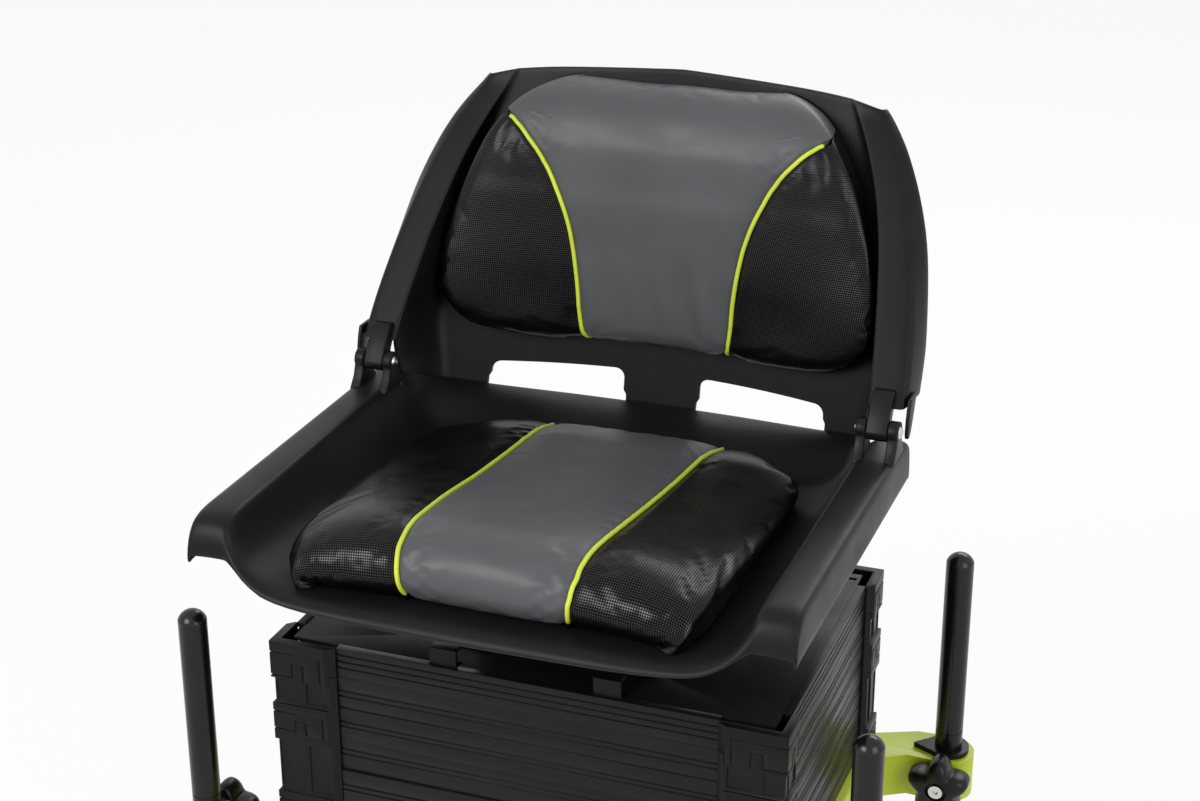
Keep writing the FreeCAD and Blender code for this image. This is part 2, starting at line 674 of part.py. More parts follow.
# Seat shell. Each row of the pan's half section gives x and height above the box top of the upper
# face, then how far the under face lies outward and down from it.
PAN_SECTION = [
    (0.0, 98.0, 0.0, 4.0), (165.0, 98.0, 0.8, 4.0), (190.0, 102.0, 2.2, 3.4), (208.0, 118.0, 3.4, 2.2),
    (222.0, 144.0, 3.0, 1.5),
]
REAR_CURVE = [(0.0, 209.0), (80.0, 203.0), (150.0, 185.0), (186.0, 163.0), (205.0, 143.0), (219.0, 124.0)]


def smooth(points):
    curve = Part.BSplineCurve()
    curve.interpolate(points)
    return curve.toShape()


def pan_wire(y, rise, flatten):
    """The pan's thin cross section at one place along Y; the sides sink by flatten."""
    top = [(x, PAN_TOP + rise + (z - 98) * flatten) for x, z, _, _ in PAN_SECTION]
    under = [(x + out, z - down) for (x, z), (_, _, out, down) in zip(top, PAN_SECTION)]
    outline = top + under[::-1]
    mirrored = [(-x, z) for x, z in outline[::-1] if x > 0]
    ring = outline + mirrored
    return Part.makePolygon([V(x, y, z) for x, z in ring + [ring[0]]])


REAR_RISE_FROM = 96.0
REAR_SLOPE = 0.12


def pan_body():
    wires = [
        pan_wire(-212, 0, 1.0),
        pan_wire(REAR_RISE_FROM, 0, 1.0),
        pan_wire(150, (150 - REAR_RISE_FROM) * REAR_SLOPE, 0.7),
        pan_wire(200, 15, 0.46),
        pan_wire(214, 16, 0.42),
    ]
    body = Part.makeLoft(wires, True, True)
    rear = [V(x, y, BOX_TOP) for x, y in REAR_CURVE]
    rear = [V(-p.x, p.y, p.z) for p in rear[:0:-1]] + rear
    edge = smooth(rear)
    corner_r = V(260, 100, BOX_TOP)
    far_r = V(260, 260, BOX_TOP)
    outline = Part.Wire([
        edge,
        Part.makeLine(rear[-1], corner_r),
        Part.makeLine(corner_r, far_r),
        Part.makeLine(far_r, V(-260, 260, BOX_TOP)),
        Part.makeLine(V(-260, 260, BOX_TOP), V(-260, 100, BOX_TOP)),
        Part.makeLine(V(-260, 100, BOX_TOP), rear[0]),
    ])
    return body.cut(Part.Face(outline).extrude(V(0, 0, 300)))


def lip_body():
    """The rolled front edge of the pan, with rounded ends that rise into the arms."""
    z = BOX_TOP
    outline = [
        (-205, z + 98), (-228, z + 97), (-240, z + 94), (LIP_FRONT_Y, z + 88), (LIP_FRONT_Y, LIP_LOW_Z - 1),
        (-245, LIP_LOW_Z - 1), (-237, z + 90), (-227, z + 93), (-205, z + 94),
    ]
    middle = prism_x(outline, -165, 165)
    ends = []
    for side in (-1, 1):
        wires = []
        for x, lift, back in ((165, 0, 0), (190, 5, 2), (207, 19, 8), (222, 34, 20)):
            points = [V(side * x, y + back, height + lift) for y, height in outline]
            wires.append(Part.makePolygon(points + [points[0]]))
        ends.append(Part.makeLoft(wires, True, True))
    return fuse([middle] + ends)


def arm_body():
    low = BOX_TOP + 107
    side_view = [
        (ARM_TIP_Y, BOX_TOP + 112), (ARM_TIP_Y + 1.5, BOX_TOP + 128.5), (-224, BOX_TOP + 137.5),
        (-212, BOX_TOP + 143.5), (-196, ARM_TOP), (ARM_REAR_Y - 12, ARM_TOP), (ARM_REAR_Y, ARM_TOP - 8),
        (ARM_REAR_Y, low),
    ]
    inner_view = [
        (ARM_TIP_Y + 4, low - 20), (ARM_TIP_Y + 5.5, BOX_TOP + 127), (-221, BOX_TOP + 134),
        (-210, BOX_TOP + 139.5), (-195, ARM_TOP - SHELL), (ARM_REAR_Y - 4, ARM_TOP - SHELL),
        (ARM_REAR_Y - 4, low - 20),
    ]
    x0 = SEAT_HALF_WIDTH - ARM_WIDTH
    solid = prism_x(side_view, x0, SEAT_HALF_WIDTH)
    room = prism_x(inner_view, x0 + SHELL, SEAT_HALF_WIDTH - SHELL)
    return solid.cut(room)


INNER_EAR = (217.0, 225.0)
OUTER_EAR = (244.5, 253.5)
TONGUE = (INNER_EAR[1] + MOVING_GAP, OUTER_EAR[0] - MOVING_GAP)


def ear(x0, x1):
    y, z = SEAT_PIN_Y, SEAT_PIN_Z
    web = prism_x(
        [(y - EAR_R - 6, ARM_TOP - 3), (y + EAR_R + 6, ARM_TOP - 3), (y + EAR_R, z), (y - EAR_R, z)], x0, x1
    )
    eye = cylinder(EAR_R, V(x0, y, z), AXIS_X, x1 - x0)
    return web.fuse(eye)


def seat_shell():
    arms = both_sides(arm_body())
    ears = both_sides(ear(*INNER_EAR)) + both_sides(ear(*OUTER_EAR))
    boss = square(SWIVEL_HALF - 5, BOSS_LOW, PAN_TOP - SHELL + 1)
    boss = boss.cut(square(SWIVEL_HALF - 10, BOSS_LOW - 1, PAN_TOP - SHELL + 2))
    pillars = []
    for x in (-SEAT_BOLT_AT, SEAT_BOLT_AT):
        for y in (-SEAT_BOLT_AT, SEAT_BOLT_AT):
            pillars.append(cylinder(9.0, V(x, y, BOSS_LOW), AXIS_Z, PAN_TOP - SHELL + 1 - BOSS_LOW))
    body = fuse([pan_body(), lip_body()] + arms + ears + [boss] + pillars)
    for x in (-SEAT_BOLT_AT, SEAT_BOLT_AT):
        for y in (-SEAT_BOLT_AT, SEAT_BOLT_AT):
            body = body.cut(cylinder(BOLT_R, V(x, y, BOSS_LOW - 1), AXIS_Z, 15))
    for x0, x1 in (INNER_EAR, OUTER_EAR):
        for hole in both_sides(cylinder(SEAT_PIN_R, V(x0 - 1, SEAT_PIN_Y, SEAT_PIN_Z), AXIS_X, x1 - x0 + 2)):
            body = body.cut(hole)
    save("seat_shell", body)


def seat_hinge_pins():
    x0, x1 = INNER_EAR[0], OUTER_EAR[1]
    shaft = cylinder(SEAT_PIN_R, V(x0, SEAT_PIN_Y, SEAT_PIN_Z), AXIS_X, x1 - x0)
    heads = []
    for x, way in ((x0, -1), (x1, 1)):
        dome = Part.makeSphere(7.0, V(x - way * 4.2, SEAT_PIN_Y, SEAT_PIN_Z))
        side = block(x, x + 9, 60, 110, SEAT_PIN_Z - 12, SEAT_PIN_Z + 12)
        if way < 0:
            side = block(x - 9, x, 60, 110, SEAT_PIN_Z - 12, SEAT_PIN_Z + 12)
        heads.append(dome.common(side))
    save("seat_hinge_pins", *both_sides(fuse([shaft] + heads)))


# Back shell: a curved, leaning panel with deep flanges whose front rims lie in one leaning plane.
# Each row gives the height above the box top, then half widths of the rim's inner and outer
# edges and of the skirt's rear edge.
BACK_LEVELS = [
    (186.0, 221.0, 252.0, 259.0),
    (209.0, 219.0, 251.0, 259.5),
    (247.0, 214.0, 246.0, 255.0),
    (293.0, 206.0, 236.0, 247.0),
    (332.0, 195.0, 223.0, 234.0),
    (369.0, 179.0, 206.0, 214.0),
    (400.0, 160.0, 187.0, 189.0),
]
PANEL_FOOT_Y = 200.0
PANEL_HEAD_Y = 252.0


def rim_y(z):
    return SEAT_PIN_Y + (z - SEAT_PIN_Z) * math.tan(math.radians(BACK_LEAN_DEG))


def panel_y(x, z):
    """The panel's front surface: curved in plan, most at the foot, and leaning back."""
    share = (z - BACK_BOTTOM_Z) / (BACK_TOP_Z - BACK_BOTTOM_Z)
    middle = PANEL_FOOT_Y + (PANEL_HEAD_Y - PANEL_FOOT_Y) * share
    bend = 0.00104 + (0.00017 - 0.00104) * share
    return middle - bend * x * x


def panel_line(half, z, shift):
    places = [half * step / 4 for step in range(-4, 5)]
    return [V(x, panel_y(x, z) + shift, z) for x in places]


def section(z, front_chain, back_chain, half):
    """A thin closed section at one height: panel curve, then the side wall's chain of corners."""
    front = panel_line(half, z, 0.0)
    back = panel_line(half + 2.5, z, SHELL)
    right = [V(x, y, z) for x, y in front_chain + back_chain]
    left = [V(-p.x, p.y, p.z) for p in right[::-1]]
    corners = [front[-1]] + right + [back[-1]]
    edges = [smooth(front)]
    edges += [Part.makeLine(a, b) for a, b in zip(corners, corners[1:])]
    edges.append(smooth(back[::-1]))
    corners = [back[0]] + left + [front[0]]
    edges += [Part.makeLine(a, b) for a, b in zip(corners, corners[1:])]
    return Part.Wire(edges)


def back_upper():
    wires = []
    for height, rim_in, rim_out, skirt in BACK_LEVELS:
        z = BOX_TOP + height
        half = rim_in - 5.0
        y_rim = min(rim_y(z), panel_y(half, z) - 2.0)
        y_rear = max(panel_y(half, z) * 0.55 + y_rim * 0.45, y_rim + 10.0)
        front_chain = [(rim_in, y_rim), (rim_out, y_rim), (skirt, y_rear)]
        back_chain = [(skirt - SHELL, y_rear), (rim_out - SHELL, y_rim + SHELL), (rim_in + SHELL, y_rim + SHELL)]
        wires.append(section(z, front_chain, back_chain, half))
    return Part.makeLoft(wires, True, True)


def back_lower():
    """Below the flanges only the panel and its two inner walls run down to the hinge line."""
    wires = []
    for height, x_wall, y_front in ((117.0, 212.0, 141.0), (150.0, 216.0, 112.0), (186.0, 221.0, 95.5)):
        z = BOX_TOP + height
        half = x_wall - 5.0
        front_chain = [(x_wall, y_front)]
        back_chain = [(x_wall + SHELL, y_front)]
        wires.append(section(z, front_chain, back_chain, half))
    return Part.makeLoft(wires, True, True)


def back_crown():
    """The arched top edge above the flanges."""
    wires = []
    for height, half in ((400.0, 187.0), (407.0, 160.0), (413.0, 100.0), (418.0, 30.0)):
        z = BOX_TOP + height
        front = panel_line(half, z, -3.0)
        back = panel_line(half, z, SHELL + 1)
        edges = [
            smooth(front), Part.makeLine(front[-1], back[-1]), smooth(back[::-1]),
            Part.makeLine(back[0], front[0]),
        ]
        wires.append(Part.Wire(edges))
    return Part.makeLoft(wires, True, True)


def back_tongue():
    y, z = SEAT_PIN_Y, SEAT_PIN_Z
    x0, x1 = TONGUE
    eye = cylinder(EAR_R, V(x0, y, z), AXIS_X, x1 - x0)
    high = BOX_TOP + 190
    web = prism_x(
        [(y - 6, z + 2), (y + EAR_R, z + 1), (y + EAR_R + 16, high), (y + 14, high)], x0, x1
    )
    return eye.fuse(web)


SLOT_X = (37.0, 162.0)
SLOT_HEIGHT = 24.0


def back_shell():
    body = fuse([back_lower(), back_upper(), back_crown()] + both_sides(back_tongue()))
    for slot in both_sides(block(*SLOT_X, 120, 230, BACK_BOTTOM_Z - 1, BACK_BOTTOM_Z + SLOT_HEIGHT)):
        body = body.cut(slot)
    hole = cylinder(SEAT_PIN_R + RUNNING_GAP, V(200, SEAT_PIN_Y, SEAT_PIN_Z), AXIS_X, 70)
    for bore in both_sides(hole):
        body = body.cut(bore)
    save("back_shell", body)


# Cushions: swollen, with drawn-in sides. Each row of a table is a section.
# How a cushion swells across: share of its half width, and share of the rise from side to crown.
SWELL = [(0.85, 0.62), (0.5, 0.92), (0.0, 1.0)]


def swollen_edge(half, side, crown, place):
    """The curve from one side of a cushion over its crown; place turns (x, thickness) into a point."""
    rising = [(half, side)] + [(half * at, side + (crown - side) * rise) for at, rise in SWELL]
    falling = [(-x, thickness) for x, thickness in rising[-2::-1]]
    return smooth([place(x, thickness) for x, thickness in rising + falling])


# Distance along Y, half width, height of the side and of the crown above the cushion's base.
SEAT_PAD = [
    (-226.0, 158.0, 12.0, 27.5),
    (-222.0, 166.0, 14.0, 38.0),
    (-213.0, 172.0, 16.0, 49.0),
    (-200.0, 176.0, 18.0, 54.5),
    (-184.0, 178.0, 19.0, 56.5),
    (-142.0, 180.0, 19.0, 52.5),
    (-100.0, 181.0, 18.0, 46.5),
    (-50.0, 181.0, 17.0, 39.0),
    (0.0, 180.0, 15.0, 32.5),
    (50.0, 178.0, 13.0, 27.5),
    (80.0, 166.0, 11.0, 24.0),
    (105.0, 138.0, 9.0, 17.0),
    (125.0, 107.0, 6.0, 9.5),
    (137.0, 86.0, 2.5, 4.0),
]
# The base stays narrower than the cushion where the pan's sides rise.
PAD_BASE_HALF = 163.0


def seat_cushion():
    wires = []
    for y, half, side, crown in SEAT_PAD:
        base = PAN_TOP + MOVING_GAP + max(0.0, (y - REAR_RISE_FROM) * REAR_SLOPE)
        low = min(half - 4.0, PAD_BASE_HALF)
        low_left = V(-low, y, base)
        low_right = V(low, y, base)
        wires.append(Part.Wire([
            Part.makeLine(low_left, low_right),
            Part.makeLine(low_right, V(half, y, base + side)),
            swollen_edge(half, side, crown, lambda x, thickness: V(x, y, base + thickness)),
            Part.makeLine(V(-half, y, base + side), low_left),
        ]))
    save("seat_cushion", Part.makeLoft(wires, True, True))


# Height above the box top, half width, thickness at the side and at the crown.
BACK_PAD = [
    (168.0, 150.0, 6.0, 12.0),
    (175.0, 178.0, 13.0, 26.0),
    (186.0, 193.0, 17.0, 36.0),
    (204.0, 199.0, 18.0, 41.0),
    (237.0, 199.0, 20.0, 47.0),
    (267.0, 195.0, 21.0, 52.0),
    (307.0, 184.0, 21.0, 56.5),
    (340.0, 171.0, 20.0, 58.0),
    (365.0, 156.0, 18.0, 56.0),
    (383.0, 138.0, 15.0, 48.0),
    (392.0, 121.0, 12.0, 39.0),
    (398.0, 105.0, 9.0, 30.0),
]


def back_cushion():
    wires = []
    for height, half, side, crown in BACK_PAD:
        z = BOX_TOP + height
        foot = half - 3.0
        rear = [V(x, panel_y(x, z) - MOVING_GAP, z) for x in (-foot, 0.0, foot)]
        left = V(-half, panel_y(-half, z) - side, z)
        right = V(half, panel_y(half, z) - side, z)
        wires.append(Part.Wire([
            Part.Arc(rear[0], rear[1], rear[2]).toShape(),
            Part.makeLine(rear[2], right),
            swollen_edge(half, side, crown, lambda x, thickness: V(x, panel_y(x, z) - thickness, z)),
            Part.makeLine(left, rear[0]),
        ]))
    save("back_cushion", Part.makeLoft(wires, True, True))


def legs_and_clamps():
    arm = corner_arm()
    tube, cap, foot = leg_parts()
    knob = knob_body()
    stud = clamp_stud()
    for corner in CORNERS:
        save("corner_arm_" + corner, at_corner(arm, corner))
        save("leg_" + corner, at_corner(tube, corner))
        save("leg_cap_" + corner, at_corner(cap, corner))
        save("leg_foot_" + corner, at_corner(foot, corner))
        save("clamp_knob_" + corner, at_corner(knob, corner))
        save("clamp_stud_" + corner, at_corner(stud, corner))
    save("leg_bushes", *four_corners(leg_bush()))


def catches():
    right, left = both_sides(catch())
    save("catch_right", right)
    save("catch_left", left)


frame_rails()
frame_bolts()
legs_and_clamps()
drawer_unit()
drawer()
tray_unit()
lid_hinges()
lid()
catches()
swivel()
seat_shell()
seat_hinge_pins()
back_shell()
seat_cushion()
back_cushion()
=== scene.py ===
import json
import math

import bmesh
import bpy
import numpy as np
from mathutils import Matrix, Vector, noise

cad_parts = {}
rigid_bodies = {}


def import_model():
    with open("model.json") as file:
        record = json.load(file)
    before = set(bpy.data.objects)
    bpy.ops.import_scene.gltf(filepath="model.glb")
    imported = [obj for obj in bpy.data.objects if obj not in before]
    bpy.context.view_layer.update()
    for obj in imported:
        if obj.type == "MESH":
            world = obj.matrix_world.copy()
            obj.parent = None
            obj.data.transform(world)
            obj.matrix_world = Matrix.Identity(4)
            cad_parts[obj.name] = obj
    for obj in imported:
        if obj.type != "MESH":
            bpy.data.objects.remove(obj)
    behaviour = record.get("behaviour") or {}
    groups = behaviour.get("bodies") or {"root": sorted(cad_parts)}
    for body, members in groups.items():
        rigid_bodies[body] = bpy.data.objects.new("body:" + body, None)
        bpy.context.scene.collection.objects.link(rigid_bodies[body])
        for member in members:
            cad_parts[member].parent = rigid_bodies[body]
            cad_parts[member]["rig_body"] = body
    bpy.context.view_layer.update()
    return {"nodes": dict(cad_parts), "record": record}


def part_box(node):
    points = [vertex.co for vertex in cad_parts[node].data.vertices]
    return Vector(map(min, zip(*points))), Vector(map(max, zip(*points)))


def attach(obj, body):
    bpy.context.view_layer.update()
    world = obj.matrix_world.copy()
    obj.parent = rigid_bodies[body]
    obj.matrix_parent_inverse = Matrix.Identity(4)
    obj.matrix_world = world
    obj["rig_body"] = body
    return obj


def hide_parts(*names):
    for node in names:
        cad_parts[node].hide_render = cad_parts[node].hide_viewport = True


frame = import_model()

# Sizes in the tables below are millimetres. Heights count from the top of the box, and depths from
# the middle of the box, which lies a little in front of the frame's origin.
MM = 0.001
BOX_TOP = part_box("lid_corners")[1].z / MM
MIDDLE_Y = (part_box("frame_rails")[0].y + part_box("frame_rails")[1].y) / 2 / MM
CORNERS = ("front_left", "front_right", "back_left", "back_right")


def point(x, y, z):
    """A place in metres from millimetres, counted from the middle and the top of the box."""
    return Vector((x, y + MIDDLE_Y, z + BOX_TOP)) * MM


def places(x, y, z):
    """The same for arrays of x, y and z."""
    return np.stack([x, y + MIDDLE_Y, z + BOX_TOP], axis=-1) * MM


def counted(grid):
    """Arrays of x, y and z in millimetres from an array of places."""
    return grid[..., 0] / MM, grid[..., 1] / MM - MIDDLE_Y, grid[..., 2] / MM - BOX_TOP


def curve(points):
    """A smooth function through (place, value) pairs that doesn't overshoot them."""
    xs, ys = (np.array(v, float) for v in zip(*points))
    step = np.diff(xs)
    rate = np.diff(ys) / step
    slope = np.zeros(len(xs))
    for i in range(1, len(xs) - 1):
        if rate[i - 1] * rate[i] > 0:
            a = 2 * step[i] + step[i - 1]
            b = step[i] + 2 * step[i - 1]
            slope[i] = (a + b) / (a / rate[i - 1] + b / rate[i])
    slope[0], slope[-1] = rate[0], rate[-1]

    def value(x):
        x = np.clip(x, xs[0], xs[-1])
        i = np.clip(np.searchsorted(xs, x, side="right") - 1, 0, len(step) - 1)
        t = (x - xs[i]) / step[i]
        return (
            (1 + 2 * t) * (1 - t) ** 2 * ys[i] + t * (1 - t) ** 2 * step[i] * slope[i]
            + t * t * (3 - 2 * t) * ys[i + 1] + t * t * (t - 1) * step[i] * slope[i + 1]
        )

    return value


def eased(share):
    """A share from 0 to 1 that starts and ends slowly."""
    return share * share * (3 - 2 * share)


# Mesh helpers
def add_object(name, mesh):
    obj = bpy.data.objects.new(name, mesh)
    bpy.context.scene.collection.objects.link(obj)
    return obj


def mesh_from(bm, name):
    mesh = bpy.data.meshes.new(name)
    bmesh.ops.recalc_face_normals(bm, faces=bm.faces)
    bm.to_mesh(mesh)
    bm.free()
    return add_object(name, mesh)


def modifier(obj, kind, **values):
    added = obj.modifiers.new(kind.lower(), kind)
    for key, value in values.items():
        setattr(added, key, value)
    return added


def applied(obj):
    """Puts the modifiers' result into the mesh."""
    bpy.context.view_layer.update()
    evaluated = obj.evaluated_get(bpy.context.evaluated_depsgraph_get())
    mesh = bpy.data.meshes.new_from_object(evaluated)
    obj.modifiers.clear()
    obj.data = mesh
    return obj


def joined(name, objects):
    """One object that holds the meshes of several."""
    bm = bmesh.new()
    for obj in objects:
        bm.from_mesh(obj.data)
        bpy.data.objects.remove(obj)
    mesh = bpy.data.meshes.new(name)
    bm.to_mesh(mesh)
    bm.free()
    return add_object(name, mesh)


def shade(obj, angle=40.0):
    obj.data.shade_smooth()
    obj.data.set_sharp_from_angle(angle=math.radians(angle))
    return obj


def rounded(obj, width, segments=3):
    """Rounds the edges that are sharper than 35 degrees."""
    limit = math.radians(35.0)
    modifier(obj, "BEVEL", width=width * MM, segments=segments, limit_method="ANGLE", angle_limit=limit)
    return shade(applied(obj))


def painted(obj, *materials):
    """Gives a mesh its materials and keeps which face has which."""
    faces = [face.material_index for face in obj.data.polygons]
    obj.data.materials.clear()
    for material in materials:
        obj.data.materials.append(material)
    obj.data.polygons.foreach_set("material_index", [min(i, len(materials) - 1) for i in faces])
    return obj


def mirrored(obj):
    copy = add_object(obj.name + "_mirrored", obj.data.copy())
    copy.data.transform(Matrix.Scale(-1, 4, (1, 0, 0)))
    copy.data.flip_normals()
    return copy


def softened(node, width, segments):
    """A copy of a node's mesh with rounded edges, which then stands for the node."""
    source = frame["nodes"][node]
    bm = bmesh.new()
    bm.from_mesh(source.data)
    bmesh.ops.remove_doubles(bm, verts=bm.verts, dist=2e-6)
    bmesh.ops.dissolve_limit(bm, angle_limit=math.radians(0.6), verts=bm.verts, edges=bm.edges)
    obj = mesh_from(bm, node + "_finish")
    rounded(obj, width, segments)
    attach(obj, source["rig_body"])
    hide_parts(node)
    return obj


def woven(bm, lines):
    """Faces between successive lines of corners."""
    for a, b in zip(lines, lines[1:]):
        for k in range(min(len(a), len(b)) - 1):
            bm.faces.new((a[k], a[k + 1], b[k + 1], b[k]))


def ringed(bm, rings, closed=True):
    """Faces between successive rings of corners, and over the first and the last ring."""
    woven(bm, [ring + ring[:1] for ring in rings])
    if closed:
        bm.faces.new(rings[0][::-1])
        bm.faces.new(rings[-1])


def extruded(outline, x0, x1, name):
    """A closed prism along X from (y, z) corners in millimetres."""
    bm = bmesh.new()
    ringed(bm, [[bm.verts.new(point(x, y, z)) for y, z in outline] for x in (x0, x1)])
    return mesh_from(bm, name)


def lathed(profile, name, centre, segments):
    """An upright surface of revolution from (radius, height) pairs in millimetres on a centre."""
    bm = bmesh.new()
    rings = []
    for radius, height in profile:
        ring = []
        for i in range(segments):
            angle = 2 * math.pi * i / segments
            offset = Vector((radius * math.cos(angle), radius * math.sin(angle), height)) * MM
            ring.append(bm.verts.new(centre + offset))
        rings.append(ring)
    ringed(bm, rings)
    bmesh.ops.remove_doubles(bm, verts=bm.verts, dist=1e-6)
    return mesh_from(bm, name)


# A cord's domed end, from its tip: how far it stands out and how thick it is, in radii.
DOME = ((1.0, 0.05), (0.8, 0.6), (0.4, 0.9))


def tube(points, radius, name, sides=12):
    """A round cord along points, with domed ends. Points are in metres, the radius in millimetres."""
    points = [Vector(p) for p in points]
    radius *= MM
    first, last = points[1] - points[0], points[-1] - points[-2]
    bm = bmesh.new()
    stations = [(points[0] - first.normalized() * radius * out, scale) for out, scale in DOME]
    stations += [(p, 1.0) for p in points]
    stations += [(points[-1] + last.normalized() * radius * out, scale) for out, scale in DOME[::-1]]
    side = first.orthogonal().normalized()
    rings = []
    for i, (place, scale) in enumerate(stations):
        after = stations[min(i + 1, len(stations) - 1)][0]
        before = stations[max(i - 1, 0)][0]
        way = (after - before).normalized()
        side = (side - way * side.dot(way)).normalized()
        other = way.cross(side)
        ring = []
        for k in range(sides):
            angle = 2 * math.pi * k / sides
            offset = side * math.cos(angle) + other * math.sin(angle)
            ring.append(bm.verts.new(place + offset * radius * scale))
        rings.append(ring)
    ringed(bm, rings)
    return shade(mesh_from(bm, name), 60)


# Materials
class Finish:
    """A Principled material with helpers for its procedural texture."""

    def __init__(self, name, color, roughness, spec=0.5, metallic=0.0):
        self.name = name
        self.material = bpy.data.materials.new(name)
        self.material.use_nodes = True
        self.tree = self.material.node_tree
        self.bsdf = self.tree.nodes["Principled BSDF"]
        self.color = color
        self.bsdf.inputs["Base Color"].default_value = (*color, 1)
        self.bsdf.inputs["Roughness"].default_value = roughness
        self.bsdf.inputs["Specular IOR Level"].default_value = spec
        self.bsdf.inputs["Metallic"].default_value = metallic
        self.height = None

    def node(self, kind, **values):
        made = self.tree.nodes.new(kind)
        for key, value in values.items():
            if key in made.inputs:
                made.inputs[key].default_value = value
            else:
                setattr(made, key, value)
        return made

    def link(self, source, target):
        self.tree.links.new(source, target)

    def place(self, scale=(1, 1, 1), uv=None):
        """Coordinates in metres, stretched by scale, from the object or from a named map."""
        mapping = self.node("ShaderNodeMapping")
        mapping.inputs["Scale"].default_value = scale
        if uv:
            self.link(self.node("ShaderNodeUVMap", uv_map=uv).outputs["UV"], mapping.inputs["Vector"])
        else:
            coordinates = self.node("ShaderNodeTexCoord")
            self.link(coordinates.outputs["Object"], mapping.inputs["Vector"])
        return mapping.outputs["Vector"]

    def noise(self, scale, detail=3.0, stretch=(1, 1, 1), roughness=0.55):
        made = self.node("ShaderNodeTexNoise", Scale=scale, Detail=detail, Roughness=roughness)
        self.link(self.place(stretch), made.inputs["Vector"])
        return made.outputs["Fac"]

    def spread(self, value, low, high, start=0.3, end=0.7):
        made = self.node("ShaderNodeMapRange")
        for key, number in (("From Min", start), ("From Max", end), ("To Min", low), ("To Max", high)):
            made.inputs[key].default_value = number
        self.link(value, made.inputs["Value"])
        return made.outputs["Result"]

    def vary_color(self, value, dark, light, start=0.3, end=0.7):
        """Colour from dark to light shades of the base colour, as a texture value rises."""
        ramp = self.node("ShaderNodeValToRGB")
        for element, place, share in zip(ramp.color_ramp.elements, (start, end), (dark, light)):
            element.position = place
            element.color = (*(c * share for c in self.color), 1)
        self.link(value, ramp.inputs["Fac"])
        self.link(ramp.outputs["Color"], self.bsdf.inputs["Base Color"])

    def vary_roughness(self, value, low, high):
        self.link(self.spread(value, low, high), self.bsdf.inputs["Roughness"])

    def bump(self, value, depth, strength=1.0):
        """Adds relief of a depth in millimetres on top of any relief so far."""
        made = self.node("ShaderNodeBump", Strength=strength, Distance=depth * MM)
        self.link(value, made.inputs["Height"])
        if self.height is not None:
            self.link(self.height, made.inputs["Normal"])
        self.height = made.outputs["Normal"]
        self.link(self.height, self.bsdf.inputs["Normal"])


# Grey level, roughness, grains in a metre, their depth in millimetres, and specular level.
PLASTICS = {
    "seat_moulding": (0.0065, 0.40, 1100.0, 0.05, 0.16),
    "box_moulding": (0.0055, 0.38, 1500.0, 0.05, 0.16),
    "knob_black_plastic": (0.005, 0.33, 1300.0, 0.05, 0.25),
    "bush_black_plastic": (0.006, 0.36, 900.0, 0.05, 0.2),
    "foot_rubber": (0.012, 0.62, 700.0, 0.08, 0.15),
}


def moulded_plastic(name, level, roughness, grain, depth, spec):
    """Black moulded plastic: fine spark-eroded grain, slow gloss changes and faint flow marks."""
    made = Finish(name, (level, level, level * 1.06), roughness, spec=spec)
    made.vary_roughness(made.noise(14.0, 4.0), roughness - 0.05, roughness + 0.07)
    made.vary_color(made.noise(9.0, 3.0), 0.8, 1.25)
    made.bump(made.noise(grain, 2.0), depth, 0.6)
    made.bump(made.noise(60.0, 2.0), 0.12, 0.25)
    return made.material


def drawn_profile(name, level):
    """Black profile with fine lines drawn along its length and slight scuffs."""
    made = Finish(name, (level, level, level * 1.05), 0.34, spec=0.2)
    lines = made.noise(1400.0, 2.0, (0.012, 0.012, 1.0))
    made.bump(lines, 0.06, 0.7)
    made.vary_roughness(made.noise(260.0, 3.0, (0.03, 0.03, 1.0)), 0.26, 0.46)
    made.vary_color(made.noise(40.0, 4.0, (0.15, 0.15, 1.0)), 0.75, 1.45)
    return made.material


DOTS_PER_METRE = 500.0


def vinyl(name, color, roughness, dots=False, spec=0.4):
    """Coated fabric with a leather grain; the black sort is embossed with rows of dots."""
    made = Finish(name, color, roughness, spec=spec)
    made.vary_roughness(made.noise(30.0, 4.0), roughness - 0.05, roughness + 0.06)
    made.vary_color(made.noise(12.0, 3.0), 0.92, 1.08)
    grain = made.node("ShaderNodeTexVoronoi", Scale=1500.0)
    made.link(made.place(), grain.inputs["Vector"])
    made.bump(grain.outputs["Distance"], 0.05, 0.35)
    if dots:
        pattern = made.node("ShaderNodeTexVoronoi", Scale=DOTS_PER_METRE, Randomness=0.0)
        made.link(made.place(uv="cut"), pattern.inputs["Vector"])
        dot = made.spread(pattern.outputs["Distance"], 1.0, 0.0, 0.2, 0.42)
        made.link(made.spread(dot, 0.06, 0.6, 0.0, 1.0), made.bsdf.inputs["Specular IOR Level"])
        made.bump(dot, 0.05, 0.3)
    return made.material


